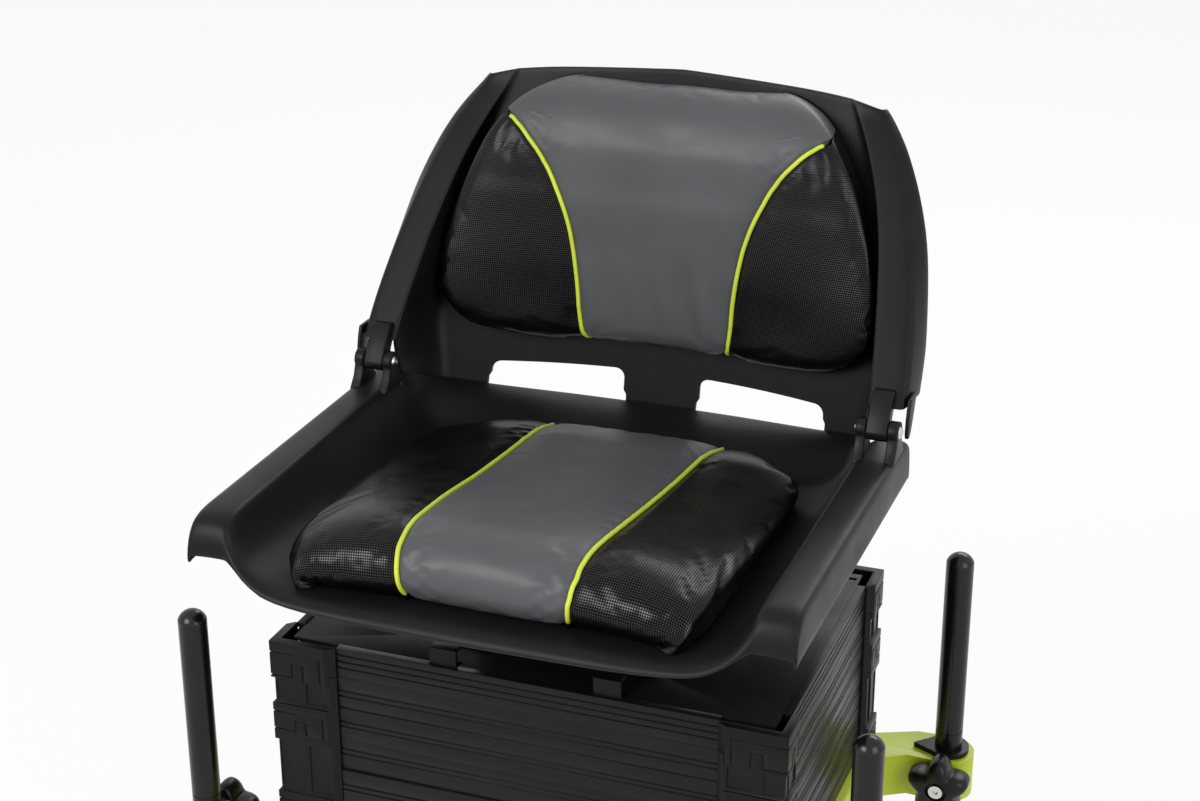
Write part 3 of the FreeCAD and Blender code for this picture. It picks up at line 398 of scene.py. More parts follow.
def make_finishes():
    finishes = {name: moulded_plastic(name, *values) for name, values in PLASTICS.items()}
    finishes |= {
        "box_extrusion": drawn_profile("box_extrusion", 0.0055),
        "vinyl_grey": vinyl("vinyl_grey", (0.078, 0.081, 0.087), 0.42, spec=0.3),
        "vinyl_black": vinyl("vinyl_black", (0.0016, 0.0016, 0.0018), 0.3, dots=True, spec=0.16),
        "piping": vinyl("piping", (0.60, 0.70, 0.055), 0.42),
    }

    sheet = Finish("lid_sheet", (0.006, 0.006, 0.0065), 0.42, spec=0.2)
    pebbles = sheet.node("ShaderNodeTexVoronoi", Scale=900.0)
    sheet.link(sheet.place(), pebbles.inputs["Vector"])
    sheet.bump(pebbles.outputs["Distance"], 0.12, 0.6)
    sheet.vary_roughness(sheet.noise(25.0), 0.42, 0.56)

    steel = Finish("bright_steel", (0.62, 0.62, 0.60), 0.25, metallic=1.0)
    steel.vary_roughness(steel.noise(300.0, 3.0), 0.16, 0.34)
    steel.bump(steel.noise(900.0, 2.0), 0.02, 0.4)

    pressed = Finish("black_pressed_steel", (0.006, 0.006, 0.0065), 0.36, spec=0.25)
    pressed.bump(pressed.noise(500.0, 3.0), 0.05, 0.5)
    pressed.vary_roughness(pressed.noise(18.0), 0.3, 0.44)

    gloss = Finish("leg_black_gloss", (0.005, 0.005, 0.0055), 0.22, spec=0.3)
    gloss.vary_roughness(gloss.noise(120.0, 3.0, (1.0, 1.0, 0.04)), 0.16, 0.32)
    gloss.bump(gloss.noise(800.0, 2.0, (1.0, 1.0, 0.02)), 0.03, 0.5)
    gloss.vary_color(gloss.noise(20.0), 0.8, 1.4)

    cap = Finish("cap_black_plastic", (0.005, 0.005, 0.005), 0.2, spec=0.35)
    cap.vary_roughness(cap.noise(90.0), 0.14, 0.28)
    cap.bump(cap.noise(700.0, 2.0), 0.02, 0.4)

    lime = Finish("lime_powder_coat", (0.48, 0.58, 0.012), 0.38, spec=0.45)
    lime.bump(lime.noise(650.0, 2.0), 0.06, 0.6)
    lime.vary_roughness(lime.noise(40.0), 0.32, 0.46)
    lime.vary_color(lime.noise(7.0), 0.93, 1.06)

    for made in (sheet, steel, pressed, gloss, cap, lime):
        finishes[made.name] = made.material
    return finishes


FINISH = make_finishes()


# Seat shell: one moulded grid over the pan, the two side walls and the hollow arms.
PAN_LEVEL = 98.0
# Half section: distance from the middle and height of the upper surface.
PAN_COLUMNS = [
    (0, 98), (28, 98), (56, 98), (84, 98), (112, 98), (138, 98), (158, 98.4), (172, 99.6), (184, 102),
    (194, 106.4), (202, 112), (209, 120), (214.5, 129.5), (218.5, 139), (220.5, 144), (222.5, 146.4),
]
ARM_COLUMNS = [(226, 147.2), (233, 147.4), (244, 147.2), (250.5, 146.4), (253.6, 143.6), (254.2, 138),
               (254.6, 124), (255, 107)]
REAR_EDGE = curve([(0, 198), (80, 191.5), (120, 183), (163, 170.5), (186, 162), (203, 154), (209, 143),
                   (214.5, 108), (218.5, 97), (222.5, 103), (230, 125), (256, 125)])
# Height of the dark joint between the pan's rim and the back shell: under the panel by the distance
# from the middle, and beside it by depth.
JOINT_UNDER = curve([(0, 113.6), (38, 114.2), (80, 115.5), (120, 118.3), (163, 123), (186, 126.7),
                     (207, 130)])
JOINT_BESIDE = curve([(95, 157), (105, 152.5), (120, 146), (135, 139.4), (150, 133), (156, 130)])
# Distance from the middle where the joint turns forward, and where the arm begins instead.
JOINT_TURN, JOINT_END = 205.0, 219.0
# How far the pan's rim stays below the joint, and how far the back shell reaches behind the rim.
JOINT_GAP = 1.0
JOINT_LAP = 5.0
FRONT_EDGE = curve([(0, -249), (112, -248), (149, -247), (180, -245), (200, -241), (214, -236.5),
                    (222, -233.5), (256, -233)])
LIP_LOW = curve([(0, 85.6), (112, 86.7), (149, 88.8), (180, 93), (200, 102.7), (214, 112),
                 (222, 114), (254, 112), (255, 109)])
ROLL_START = curve([(0, -205), (190, -204), (222, -197), (256, -197)])
ROLL = ((0.0, 0.0), (0.28, 0.015), (0.52, 0.06), (0.70, 0.16), (0.84, 0.34), (0.94, 0.6), (1.0, 1.0))
FLAT_ROWS = (-190, -160, -125, -90, -50, -10, 30, 65, 90)
REAR_FROM = 96.0
REAR_SHARES = (0.0, 0.18, 0.38, 0.6, 0.8, 0.93, 1.0)
# The arm's top falls away over the last part of its rear; columns lower than ARM_SIDE are its side.
ARM_DROP = 7.0
ARM_DROP_FROM = 0.6
ARM_SIDE = 120.0
PAN_RISE = curve([(96, 0.0), (150, 6.5), (200, 15.0), (214, 16.0)])
FLATTEN = curve([(96, 1.0), (150, 0.7), (200, 0.46), (214, 0.42)])
SHELL_THICKNESS = 3.8


def pan_height(x, y):
    """The pan's upper surface at a place between the arms."""
    base = np.interp(abs(x), [c[0] for c in PAN_COLUMNS], [c[1] for c in PAN_COLUMNS])
    rise = float(PAN_RISE(y))
    return PAN_LEVEL + rise + (base - PAN_LEVEL) * float(FLATTEN(y))


def shell_column(x, height, is_arm):
    """One line of the seat shell from the lip's lower edge to the rear edge, as (x, y, z)."""
    line = []
    start, front, low = float(ROLL_START(x)), float(FRONT_EDGE(x)), float(LIP_LOW(x))
    if is_arm and height < ARM_SIDE:
        low = height
    for along, down in ROLL[::-1]:
        line.append((x, start + (front - start) * along, height - (height - low) * down))
    for y in FLAT_ROWS:
        line.append((x, y, height))
    rear = float(REAR_EDGE(x))
    for share in REAR_SHARES:
        y = REAR_FROM + (rear - REAR_FROM) * share
        if is_arm:
            fallen = max(0.0, (share - ARM_DROP_FROM) / (1 - ARM_DROP_FROM)) ** 2
            drop = ARM_DROP * fallen if height > ARM_SIDE else 0.0
            line.append((x, y, height - drop))
            continue
        sunk = PAN_LEVEL + float(PAN_RISE(y)) + (height - PAN_LEVEL) * float(FLATTEN(y))
        joint = float(JOINT_UNDER(x)) if x <= JOINT_TURN else float(JOINT_BESIDE(rear))
        if x > JOINT_END:
            joint = height
        grown = eased(share)
        line.append((x, y, sunk * (1 - grown) + (joint - JOINT_GAP) * grown))
    return line


def seat_shell_surface():
    """The pan and both arms as one sheet with a thickness."""
    half = [shell_column(x, z, False) for x, z in PAN_COLUMNS]
    half += [shell_column(x, z, True) for x, z in ARM_COLUMNS]
    left = [[(-x, y, z) for x, y, z in line] for line in half[:0:-1]]
    columns = left + half
    bm = bmesh.new()
    verts = [[bm.verts.new(point(*place)) for place in line] for line in columns]
    woven(bm, verts)
    # The arms' rear ends are closed down to the side's lower edge.
    count = len(ARM_COLUMNS) + 1
    left_end = [line[-1] for line in verts[:count]]
    right_end = [line[-1] for line in verts[-count:]]
    for end, inner in ((left_end, left_end[-1]), (right_end, right_end[0])):
        low = point(0, 0, ARM_COLUMNS[-1][1]).z
        bm.faces.new([*end, bm.verts.new(Vector((inner.co.x, inner.co.y, low)))])
    obj = mesh_from(bm, "pan")
    if obj.data.polygons[len(obj.data.polygons) // 2].normal.z < 0:
        obj.data.flip_normals()
    modifier(obj, "SOLIDIFY", thickness=SHELL_THICKNESS * MM, offset=-1.0, edge_crease_rim=0.5)
    modifier(obj, "SUBSURF", levels=1, render_levels=1)
    return applied(obj)


# The hinge pin's place, and the two ears and the tongue on it.
PIN_Y, PIN_Z = 82.5, 168.0
EAR_RADIUS = 9.5
EARS = ((217.0, 225.0), (244.5, 253.5))
TONGUE = (225.6, 243.9)
TAIL = (255.6, 259.0)
HINGE_EDGE = 1.2


def arc(y, z, radius, start, end, steps):
    """Points on an arc in the YZ plane; angles in degrees from +Y towards +Z."""
    turns = [math.radians(start + (end - start) * i / steps) for i in range(steps + 1)]
    return [(y + radius * math.cos(a), z + radius * math.sin(a)) for a in turns]


def ear_piece(x0, x1, name):
    """An upright ear round the hinge pin, on a foot that widens into the arm."""
    outline = [(PIN_Y - 21, 144), (PIN_Y + 20, 144), (PIN_Y + 17, 148), (PIN_Y + 11, 155)]
    outline += arc(PIN_Y, PIN_Z, EAR_RADIUS, -25, 205, 14)
    outline += [(PIN_Y - 12, 155), (PIN_Y - 17, 149)]
    return rounded(extruded(outline, x0, x1, name), HINGE_EDGE)


# A square collar under the pan with four screw pillars; the pillar's radius by height.
BOSS_HALF = 75.0
BOSS_LOW, BOSS_HIGH = 74.0, 95.0
BOSS_WALL = 5.0
BOSS_EDGE = 1.2
PILLAR_PLACE = 60.0
PILLAR = [(3.2, 0), (8, 0), (9, 1), (9.4, 20)]


def boss_ring():
    bm = bmesh.new()
    inside = BOSS_HALF - BOSS_WALL
    section = ((BOSS_HALF, BOSS_HIGH), (BOSS_HALF, BOSS_LOW), (inside, BOSS_LOW), (inside, BOSS_HIGH))
    corners = ((1, 1), (-1, 1), (-1, -1), (1, -1))
    loops = [[bm.verts.new(point(half * a, half * b, z)) for a, b in corners] for half, z in section]
    ringed(bm, loops + loops[:1], closed=False)
    return rounded(mesh_from(bm, "boss"), BOSS_EDGE)


def build_seat_shell():
    parts = [seat_shell_surface(), boss_ring()]
    for x0, x1 in EARS:
        ear = ear_piece(x0, x1, "ear")
        parts += [ear, mirrored(ear)]
    for x in (-PILLAR_PLACE, PILLAR_PLACE):
        for y in (-PILLAR_PLACE, PILLAR_PLACE):
            parts.append(lathed(PILLAR, "pillar", point(x, y, BOSS_LOW), 24))
    shell = shade(joined("seat_shell_moulding", parts), 40)
    painted(shell, FINISH["seat_moulding"])
    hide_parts("seat_shell")
    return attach(shell, "seat")


# Back shell: a leaning, curved panel between deep flanges whose front rims lie in one plane.
BACK_FOOT = 117.0
BACK_HEAD = 400.0
FLANGE_FROM = 183.0
RIM_INNER = curve([(117, 212), (150, 216), (186, 221), (209, 219), (247, 214), (293, 206), (332, 195),
                   (369, 179), (400, 160)])
RIM_OUTER = curve([(186, 254), (209, 252.5), (247, 247), (293, 236.5), (332, 224), (369, 207),
                   (400, 187)])
SKIRT = curve([(186, 259), (209, 259), (247, 255), (293, 247), (332, 234), (369, 215), (400, 190)])
CROWN_HALF = 189.0
CROWN_TOP = curve([(0, 418), (92, 413), (122, 411), (160, 406.6), (CROWN_HALF, 400)])
LIFT_FROM = 330.0
RIM_LEAN = math.tan(math.radians(35.8))
LOW_WALL_Y = 95.0
# Lower ends of the side wall's last columns, which follow the joint with the pan.
WALL_FEET = (134.5, 144.5, 156.0, 158.5)
PANEL_FOOT_Y, PANEL_HEAD_Y = 200.0, 252.0
# The panel's curve in plan, as depth per square millimetre, at its foot and its head.
BEND_FOOT, BEND_HEAD = 0.00104, 0.00017


def panel_y(x, z):
    """The panel's front surface, curved in plan and leaning back."""
    share = (z - BACK_FOOT) / (BACK_HEAD - BACK_FOOT)
    bend = BEND_FOOT + (BEND_HEAD - BEND_FOOT) * share
    return PANEL_FOOT_Y + (PANEL_HEAD_Y - PANEL_FOOT_Y) * share - bend * x * x


def rim_y(z):
    """The flange's front rim, on a plane through the hinge pin."""
    return PIN_Y + (z - PIN_Z) * RIM_LEAN


BACK_ROWS = [117, 119, 122, 128, 136, 144, 152, 162, 172, 179, 183, 184.5, 189, 196, 207, 220, 236, 254,
             272, 290, 308, 326, 343, 358, 371, 382, 390, 396, 400]
PANEL_SHARES = (0, 0.12, 0.24, 0.36, 0.48, 0.6, 0.72, 0.83, 0.92, 0.98)
PANEL_EDGE = 207.0
# The side wall starts this far inside the rim. Its places go outward and forward, as a share.
WALL_SET = 5.0
WALL_PLACES = ((0.8, 0.12), (2.8, 0.5), (WALL_SET - 0.4, 0.93), (WALL_SET + 0.6, 1.0))


def lowered(column, z):
    """The height of a row in one column: the lowest rows follow the joint with the pan."""
    if z >= FLANGE_FROM:
        return z
    if column < len(PANEL_SHARES):
        foot = float(JOINT_UNDER(PANEL_EDGE * PANEL_SHARES[column])) - JOINT_LAP
    else:
        foot = WALL_FEET[column - len(PANEL_SHARES)] - JOINT_LAP
    return foot + (z - BACK_FOOT) * (FLANGE_FROM - foot) / (FLANGE_FROM - BACK_FOOT)


def back_row(z):
    """One row of the back shell's half: panel, inner wall and, above the hinge, flange and skirt."""
    rim_in = float(RIM_INNER(z))
    half = rim_in - WALL_SET
    row = [(half * s, panel_y(half * s, z)) for s in PANEL_SHARES]
    edge_y = panel_y(half, z)
    front = LOW_WALL_Y if z < FLANGE_FROM else min(rim_y(z), edge_y - 1.5)
    row += [(half + out, edge_y - (edge_y - front) * share) for out, share in WALL_PLACES]
    if z >= FLANGE_FROM:
        rim_out, skirt = float(RIM_OUTER(z)), float(SKIRT(z))
        rear = max(edge_y * 0.55 + front * 0.45, front + 9.0)
        # Round the flange's front rim, then out and back to the skirt.
        row += [
            (rim_in + 3.0, front - 0.6),
            ((rim_in + rim_out) / 2, front - 0.8),
            (rim_out - 2.6, front - 0.5),
            (rim_out - 0.3, front + 1.6),
            (rim_out + (skirt - rim_out) * 0.3, front + (rear - front) * 0.35),
            (skirt, rear),
        ]
    return row


def crown_lift(x, z):
    """How far a place near the head is lifted so that the top edge arches."""
    share = eased(min(1.0, max(0.0, (z - LIFT_FROM) / (BACK_HEAD - LIFT_FROM))))
    return (float(CROWN_TOP(min(abs(x), CROWN_HALF))) - BACK_HEAD) * share


def back_place(x, y, z):
    lifted = z + crown_lift(x, z)
    lean = (PANEL_HEAD_Y - PANEL_FOOT_Y) / (BACK_HEAD - BACK_FOOT)
    return point(x, y + (lifted - z) * lean, lifted)


def back_shell_surface():
    bm = bmesh.new()
    rows = []
    for z in BACK_ROWS:
        heights = [lowered(k, z) for k in range(len(back_row(z)))]
        half = [(*back_row(height)[k], height) for k, height in enumerate(heights)]
        right = [bm.verts.new(back_place(x, y, h)) for x, y, h in half]
        left = [bm.verts.new(back_place(-x, y, h)) for x, y, h in half[1:]]
        rows.append((right, [right[0]] + left))
    for side in (0, 1):
        woven(bm, [row[side] for row in rows])
        first = next(row[side] for row, z in zip(rows, BACK_ROWS) if z >= FLANGE_FROM)
        flange = first[len(PANEL_SHARES) + len(WALL_PLACES) - 1:]
        corner = bm.verts.new(Vector((flange[0].co.x, flange[-1].co.y, flange[0].co.z)))
        bm.faces.new(flange + [corner])
    obj = mesh_from(bm, "panel")
    middle = min(obj.data.polygons, key=lambda f: (f.center - point(0, 230, 280)).length)
    if middle.normal.y > 0:
        obj.data.flip_normals()
    modifier(obj, "SOLIDIFY", thickness=SHELL_THICKNESS * MM, offset=-1.0, edge_crease_rim=0.35)
    modifier(obj, "SUBSURF", levels=1, render_levels=1)
    return applied(obj)


# A hand slot's distances from the middle, its heights, and how deep its cutter reaches.
SLOT_NEAR, SLOT_FAR, SLOT_TOP, SLOT_LOW = 37.0, 162.0, 141.0, 108.0
SLOT_REACH = (120.0, 230.0)
SLOT_RADIUS = 9.0
SLOT_FLARE = 3.0


def slot_cutter():
    """The two hand slots: rounded upper corners and feet that flare a little."""
    bm = bmesh.new()
    for side in (-1, 1):
        top = SLOT_TOP - SLOT_RADIUS
        outline = [(SLOT_NEAR - SLOT_FLARE, SLOT_LOW), (SLOT_NEAR - 2.5, 117), (SLOT_NEAR, 121)]
        outline += arc(SLOT_NEAR + SLOT_RADIUS, top, SLOT_RADIUS, 180, 90, 6)
        outline += arc(SLOT_FAR - SLOT_RADIUS, top, SLOT_RADIUS, 90, 0, 6)
        outline += [(SLOT_FAR, 130), (SLOT_FAR + 2.5, 126), (SLOT_FAR + SLOT_FLARE, SLOT_LOW)]
        ringed(bm, [[bm.verts.new(point(side * x, y, z)) for x, z in outline] for y in SLOT_REACH])
    return mesh_from(bm, "slot_cutter")


def tongue_piece():
    """The back's tongue round the pin, between the two ears."""
    outline = arc(PIN_Y, PIN_Z, EAR_RADIUS, 180, 360, 12)
    outline += [(PIN_Y + 12, PIN_Z + 8), (PIN_Y + 27, 197), (PIN_Y + 12, 199), (PIN_Y - 2, PIN_Z + 14)]
    return rounded(extruded(outline, *TONGUE, "tongue"), HINGE_EDGE)


def tail_piece():
    """The strip of the skirt that runs on past the outer ear to the pin's level."""
    outline = [(97, 193), (117, 193), (111, 180), (105, 169), (100, 161.5), (95.5, 158), (91.5, 159),
               (90, 164), (91, 174), (93.5, 184)]
    return rounded(extruded(outline, *TAIL, "tail"), 0.9)


def build_back_shell():
    surface = back_shell_surface()
    cutter = slot_cutter()
    modifier(surface, "BOOLEAN", operation="DIFFERENCE", object=cutter, solver="EXACT")
    applied(surface)
    bpy.data.objects.remove(cutter)
    tongue, tail = tongue_piece(), tail_piece()
    parts = [surface, tongue, mirrored(tongue), tail, mirrored(tail)]
    shell = shade(joined("back_shell_moulding", parts), 40)
    painted(shell, FINISH["seat_moulding"])
    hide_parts("back_shell")
    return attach(shell, "back")


# Cushions. Each is a sheet over a square of u and v from -1 to 1, whose rim lies on the moulding.
# v runs along the piping and u across it, over the shoulder at u = RIM_SHARE and under to the rim.
RIM_SHARE = 0.9
UNDERCUT = 0.04
SWELL_POWER = 2.3
# Distance in millimetres from the moulding to the cover's underside, which is closed in rings.
BED_GAP = 0.8
UNDERSIDE_RINGS = (0.96, 0.86, 0.7, 0.5, 0.25)
PIPING_RADIUS = 2.0
PIPING_LIFT = 1.3
# Where the seam comes this near to the rim, as shares of u, its groove fades out between the two
# and the piping ends at the first.
SEAM_FADE = (0.86, 0.93)
SEAM_MOST = 0.97


def across(u):
    """Share of the half width, and how far round the side from shoulder, 0, to rim, 1."""
    turn = np.clip(np.abs(u) / RIM_SHARE, 0, 1)
    under = np.clip((np.abs(u) - RIM_SHARE) / (1 - RIM_SHARE), 0, 1)
    return np.sin(turn * math.pi / 2) ** 0.9, under


def swell(share, side):
    """Height share over a cushion: 1 in the middle and side at the shoulder."""
    return side + (1 - side) * (1 - np.clip(share, 0, 1) ** SWELL_POWER) ** (1 / SWELL_POWER)


def row_at(table, v):
    """Columns of a table of lines, spaced evenly over the length of its first two columns."""
    table = np.array(table, float)
    steps = np.linalg.norm(np.diff(table[:, :2], axis=0), axis=1)
    length = np.concatenate([[0], np.cumsum(steps)])
    where = (v + 1) / 2 * length[-1]
    return [curve(list(zip(length, column)))(where) for column in table.T]


CLOTH = {
    "quality": 6, "mass": 0.25, "tension_stiffness": 18, "compression_stiffness": 18,
    "shear_stiffness": 8, "bending_stiffness": 0.6, "use_pressure": True,
    "uniform_pressure_force": 4.0, "vertex_group_mass": "held",
}
CLOTH_FRAMES = 20
# The cloth is held this far to either side of the piping, in millimetres.
CLOTH_HELD = 4.0


def inflate(grid, seam, cap, slack):
    """Cloth over a grid, held at its rim and where seam is true, blown up by cap millimetres at most."""
    rows, columns = grid.shape[:2]
    bm = bmesh.new()
    verts = [[bm.verts.new(grid[i, j]) for j in range(columns)] for i in range(rows)]
    woven(bm, verts)
    rim = verts[0][:-1] + [r[-1] for r in verts[:-1]] + verts[-1][:0:-1] + [r[0] for r in verts[:0:-1]]
    centre = bm.verts.new(sum((v.co for v in rim), Vector()) / len(rim))
    for a, b in zip(rim, rim[1:] + rim[:1]):
        bm.faces.new((b, a, centre))
    obj = mesh_from(bm, "blown")
    held = obj.vertex_groups.new(name="held")
    edge = [i * columns + j for i in range(rows) for j in range(columns)
            if i in (0, rows - 1) or j in (0, columns - 1) or seam[i, j]]
    held.add(edge + [rows * columns], 1.0, "REPLACE")
    cloth = obj.modifiers.new("cloth", "CLOTH")
    for setting, value in CLOTH.items():
        setattr(cloth.settings, setting, value)
    cloth.settings.shrink_min = -slack
    cloth.settings.effector_weights.gravity = 0
    scene = bpy.context.scene
    for number in range(1, CLOTH_FRAMES + 1):
        scene.frame_set(number)
    evaluated = obj.evaluated_get(bpy.context.evaluated_depsgraph_get())
    moved = np.array([v.co for v in evaluated.data.vertices], float)[: rows * columns]
    moved = moved.reshape(rows, columns, 3) - grid
    far = np.linalg.norm(moved, axis=2, keepdims=True)
    moved *= np.where(far > 1e-9, cap * MM * np.tanh(far / (cap * MM)) / np.maximum(far, 1e-9), 1.0)
    bpy.data.objects.remove(obj)
    scene.frame_set(1)
    return grid + moved


def sampled(grid, u, v):
    """Smooth places on a grid at arrays of u (columns) and v (rows), each from -1 to 1."""
    rows, columns = grid.shape[:2]

    def weights(t, count):
        t = (np.clip(t, -1, 1) + 1) / 2 * (count - 1)
        first = np.clip(np.floor(t).astype(int), 0, count - 2)
        f = t - first
        w = np.stack([
            -0.5 * f + f * f - 0.5 * f ** 3, 1 - 2.5 * f * f + 1.5 * f ** 3,
            0.5 * f + 2 * f * f - 1.5 * f ** 3, -0.5 * f * f + 0.5 * f ** 3,
        ])
        index = np.clip(np.stack([first - 1, first, first + 1, first + 2]), 0, count - 1)
        return index, w

    column, wu = weights(u, columns)
    row, wv = weights(v, rows)
    total = np.zeros((*np.shape(u), 3))
    for a in range(4):
        for b in range(4):
            total += grid[row[a], column[b]] * (wv[a] * wu[b])[..., None]
    return total


class Pad:
    """A cushion's cover made of patches that meet along the piping."""

    def __init__(self, grid):
        self.grid = grid
        self.bm = bmesh.new()
        self.uv = self.bm.loops.layers.uv.new("cut")

    def normals(self, u, v):
        step = 0.012
        du = sampled(self.grid, u + step, v) - sampled(self.grid, u - step, v)
        dv = sampled(self.grid, u, v + step) - sampled(self.grid, u, v - step)
        cross = np.cross(du, dv)
        return cross / np.maximum(np.linalg.norm(cross, axis=-1, keepdims=True), 1e-12)

    def patch(self, u, v, relief, material):
        """A patch at arrays of u and v, pushed out by relief in millimetres."""
        places = sampled(self.grid, u, v) + self.normals(u, v) * (relief * MM)[..., None]
        verts = [[self.bm.verts.new(p) for p in line] for line in places]
        width = np.cumsum(np.linalg.norm(np.diff(places, axis=1), axis=2), axis=1)
        width = np.concatenate([np.zeros((len(places), 1)), width], axis=1)
        from_rim = u[0, 0] < -0.95
        if from_rim:
            width -= width[:, -1:]
        line = places[:, -1 if from_rim else 0]
        height = np.concatenate([[0], np.cumsum(np.linalg.norm(np.diff(line, axis=0), axis=1))])
        for i in range(len(verts) - 1):
            for j in range(len(verts[0]) - 1):
                corners = ((i, j), (i, j + 1), (i + 1, j + 1), (i + 1, j))
                face = self.bm.faces.new([verts[a][b] for a, b in corners])
                face.material_index = material
                face.smooth = True
                for loop, (a, b) in zip(face.loops, corners):
                    loop[self.uv].uv = (width[a, b], height[a])
        return places

    def rim(self):
        """The open edge's corners in order."""
        bmesh.ops.remove_doubles(self.bm, verts=self.bm.verts, dist=4e-5)
        open_edges = {e for e in self.bm.edges if e.is_boundary}
        self.bm.edges.index_update()
        edge = min(open_edges, key=lambda e: e.index)
        line = [edge.verts[0]]
        while edge:
            open_edges.discard(edge)
            line.append(edge.other_vert(line[-1]))
            edge = next((e for e in line[-1].link_edges if e in open_edges), None)
        return line[:-1]

    def finished(self, name, bed):
        """Closes the underside with rings of faces that lie on the moulding; bed(x, y, z) finds it."""
        line = self.rim()
        middle = sum((v.co for v in line), Vector()) / len(line)
        for share in UNDERSIDE_RINGS:
            x, y, z = counted(np.array([middle + (v.co - middle) * share for v in line]))
            inner = [self.bm.verts.new(p) for p in bed(x, y, z)]
            for corners in zip(line, line[1:] + line[:1], inner[1:] + inner[:1], inner):
                self.bm.faces.new(corners).material_index = 1
            line = inner
        x, y, z = counted(np.array([middle]))
        centre = self.bm.verts.new(bed(x, y, z)[0])
        for a, b in zip(line, line[1:] + line[:1]):
            self.bm.faces.new((a, b, centre)).material_index = 1
        return mesh_from(self.bm, name)


def bump_at(distance, width):
    return np.exp(-(distance / width) ** 2)


def ripples(x, y, z, size, seed, more=(1.3, 5.9)):
    """Slow, soft waves of noise over places in millimetres."""
    flat = zip(np.ravel(x) / size, np.ravel(y) / size, np.ravel(z) / size)
    return np.reshape([noise.noise(Vector(p) + Vector((seed, *more))) for p in flat], x.shape)


def wrinkles(x, y, z, size, seed):
    """Sharp creases: folded noise in three sizes."""
    total = np.zeros(x.shape)
    for octave, share in ((1.0, 0.6), (2.1, 0.3), (4.3, 0.1)):
        total += share * (1 - 2.2 * np.abs(ripples(x, y, z, size / octave, seed, (3.1, 7.7))))
    return total


def seam_line(grid, rows, seam_x):
    """The piping's share of u for each v; seam_x gives its distance from the middle at a place."""
    steps = np.linspace(0, 1, 200)
    found = []
    for row in rows:
        x, y, z = counted(sampled(grid, steps, np.full(steps.shape, row)))
        outside = np.abs(x) - seam_x(y, z, row)
        reached = np.nonzero(outside >= 0)[0]
        if len(reached) == 0 or reached[0] == 0:
            found.append(SEAM_MOST)
            continue
        i = reached[0]
        part = outside[i - 1] / (outside[i - 1] - outside[i])
        found.append(steps[i - 1] + (steps[i] - steps[i - 1]) * part)
    return np.array(found)


def sewn_cover(name, grid, seam_x, relief, bed, body):
    """A cover of a grey middle and two black sides, with piping between them."""
    pad = Pad(grid)
    rows = np.linspace(-1, 1, 170)
    seam = seam_line(grid, rows, seam_x)[:, None]
    lines = {}
    for side, count, material in (("middle", 88, 0), ("left", 70, 1), ("right", 70, 1)):
        steps = np.linspace(0, 1, count)
        v = np.repeat(rows[:, None], count, 1)
        u = -seam + 2 * seam * steps if side == "middle" else seam + (1 - seam) * steps
        if side == "left":
            u = -u[:, ::-1]
        x, y, z = counted(sampled(grid, u, v))
        edge = sampled(grid, seam * np.sign(u), v)
        gap = np.linalg.norm(sampled(grid, u, v) - edge, axis=-1) / MM
        sewn = np.clip((SEAM_FADE[1] - seam) / (SEAM_FADE[1] - SEAM_FADE[0]), 0, 1)
        groove = 2.4 * bump_at(gap, 4.5) + 1.6 * bump_at(gap, 16.0)
        height = relief(side, x, y, z, gap) - sewn * groove
        lines[side] = (pad.patch(u, v, height, material), pad.normals(u, v))
    cover = shade(pad.finished(name + "_cover", bed), 70)
    painted(cover, FINISH["vinyl_grey"], FINISH["vinyl_black"])
    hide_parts(name)
    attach(cover, body)
    # The piping stops a few rows short of the cover's ends.
    shown = np.nonzero(seam[:, 0] < SEAM_FADE[0])[0][3:-2]
    line, normal = lines["middle"]
    for side, column in (("left", 0), ("right", -1)):
        path = line[shown, column] + normal[shown, column] * PIPING_LIFT * MM
        cord = tube([Vector(p) for p in path], PIPING_RADIUS, name + "_piping_" + side)
        painted(cord, FINISH["piping"])
        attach(cord, body)


# Seat cushion, from front to rear: depth and height of the piping, its distance from the middle,
# and the cushion's half width there.
SEAT_LINES = [
    (-213, 98.6, 68, 132), (-218, 102.5, 68.6, 145), (-222.5, 108, 69.6, 153), (-225.6, 114.5, 70.5, 158),
    (-226.9, 121.5, 71.2, 162), (-225, 130, 72.2, 165), (-219.5, 139.5, 73.7, 169), (-212, 146, 74.6, 172),
    (-203, 150, 75, 174.5), (-193, 152.3, 75.6, 176.5), (-180, 152.8, 76.2, 178), (-160, 151.3, 76.8, 179.5),
    (-130, 147.7, 77.6, 180.5), (-95, 142.8, 78.2, 181), (-60, 137.5, 78.6, 181), (-25, 133, 79.1, 181),
    (10, 128.8, 79.5, 180), (45, 125.8, 79.9, 178), (70, 124, 80.2, 171), (90, 120.5, 80.8, 158),
    (107, 116.5, 81.3, 140), (122, 112, 81.7, 121), (133, 108.5, 82, 107), (138, 106, 82, 99),
    (139.5, 104.4, 82, 95),
]
SEAT_SIDE = 0.34


def seat_base(x, y):
    return np.vectorize(pan_height)(x, y) + BED_GAP


def seat_bed(x, y, z):
    return places(x, y, seat_base(x, y))


def seat_place(u, v):
    y, z_seam, x_seam, half = row_at(SEAT_LINES, v)
    share, under = across(u)
    rise = z_seam - seat_base(x_seam, y)
    crown = rise / swell(x_seam / half, SEAT_SIDE)
    x = half * share * (1 - UNDERCUT * under)
    z = seat_base(x, y) + crown * swell(share, SEAT_SIDE) * (1 - under)
    return places(x * np.sign(u), y, z)


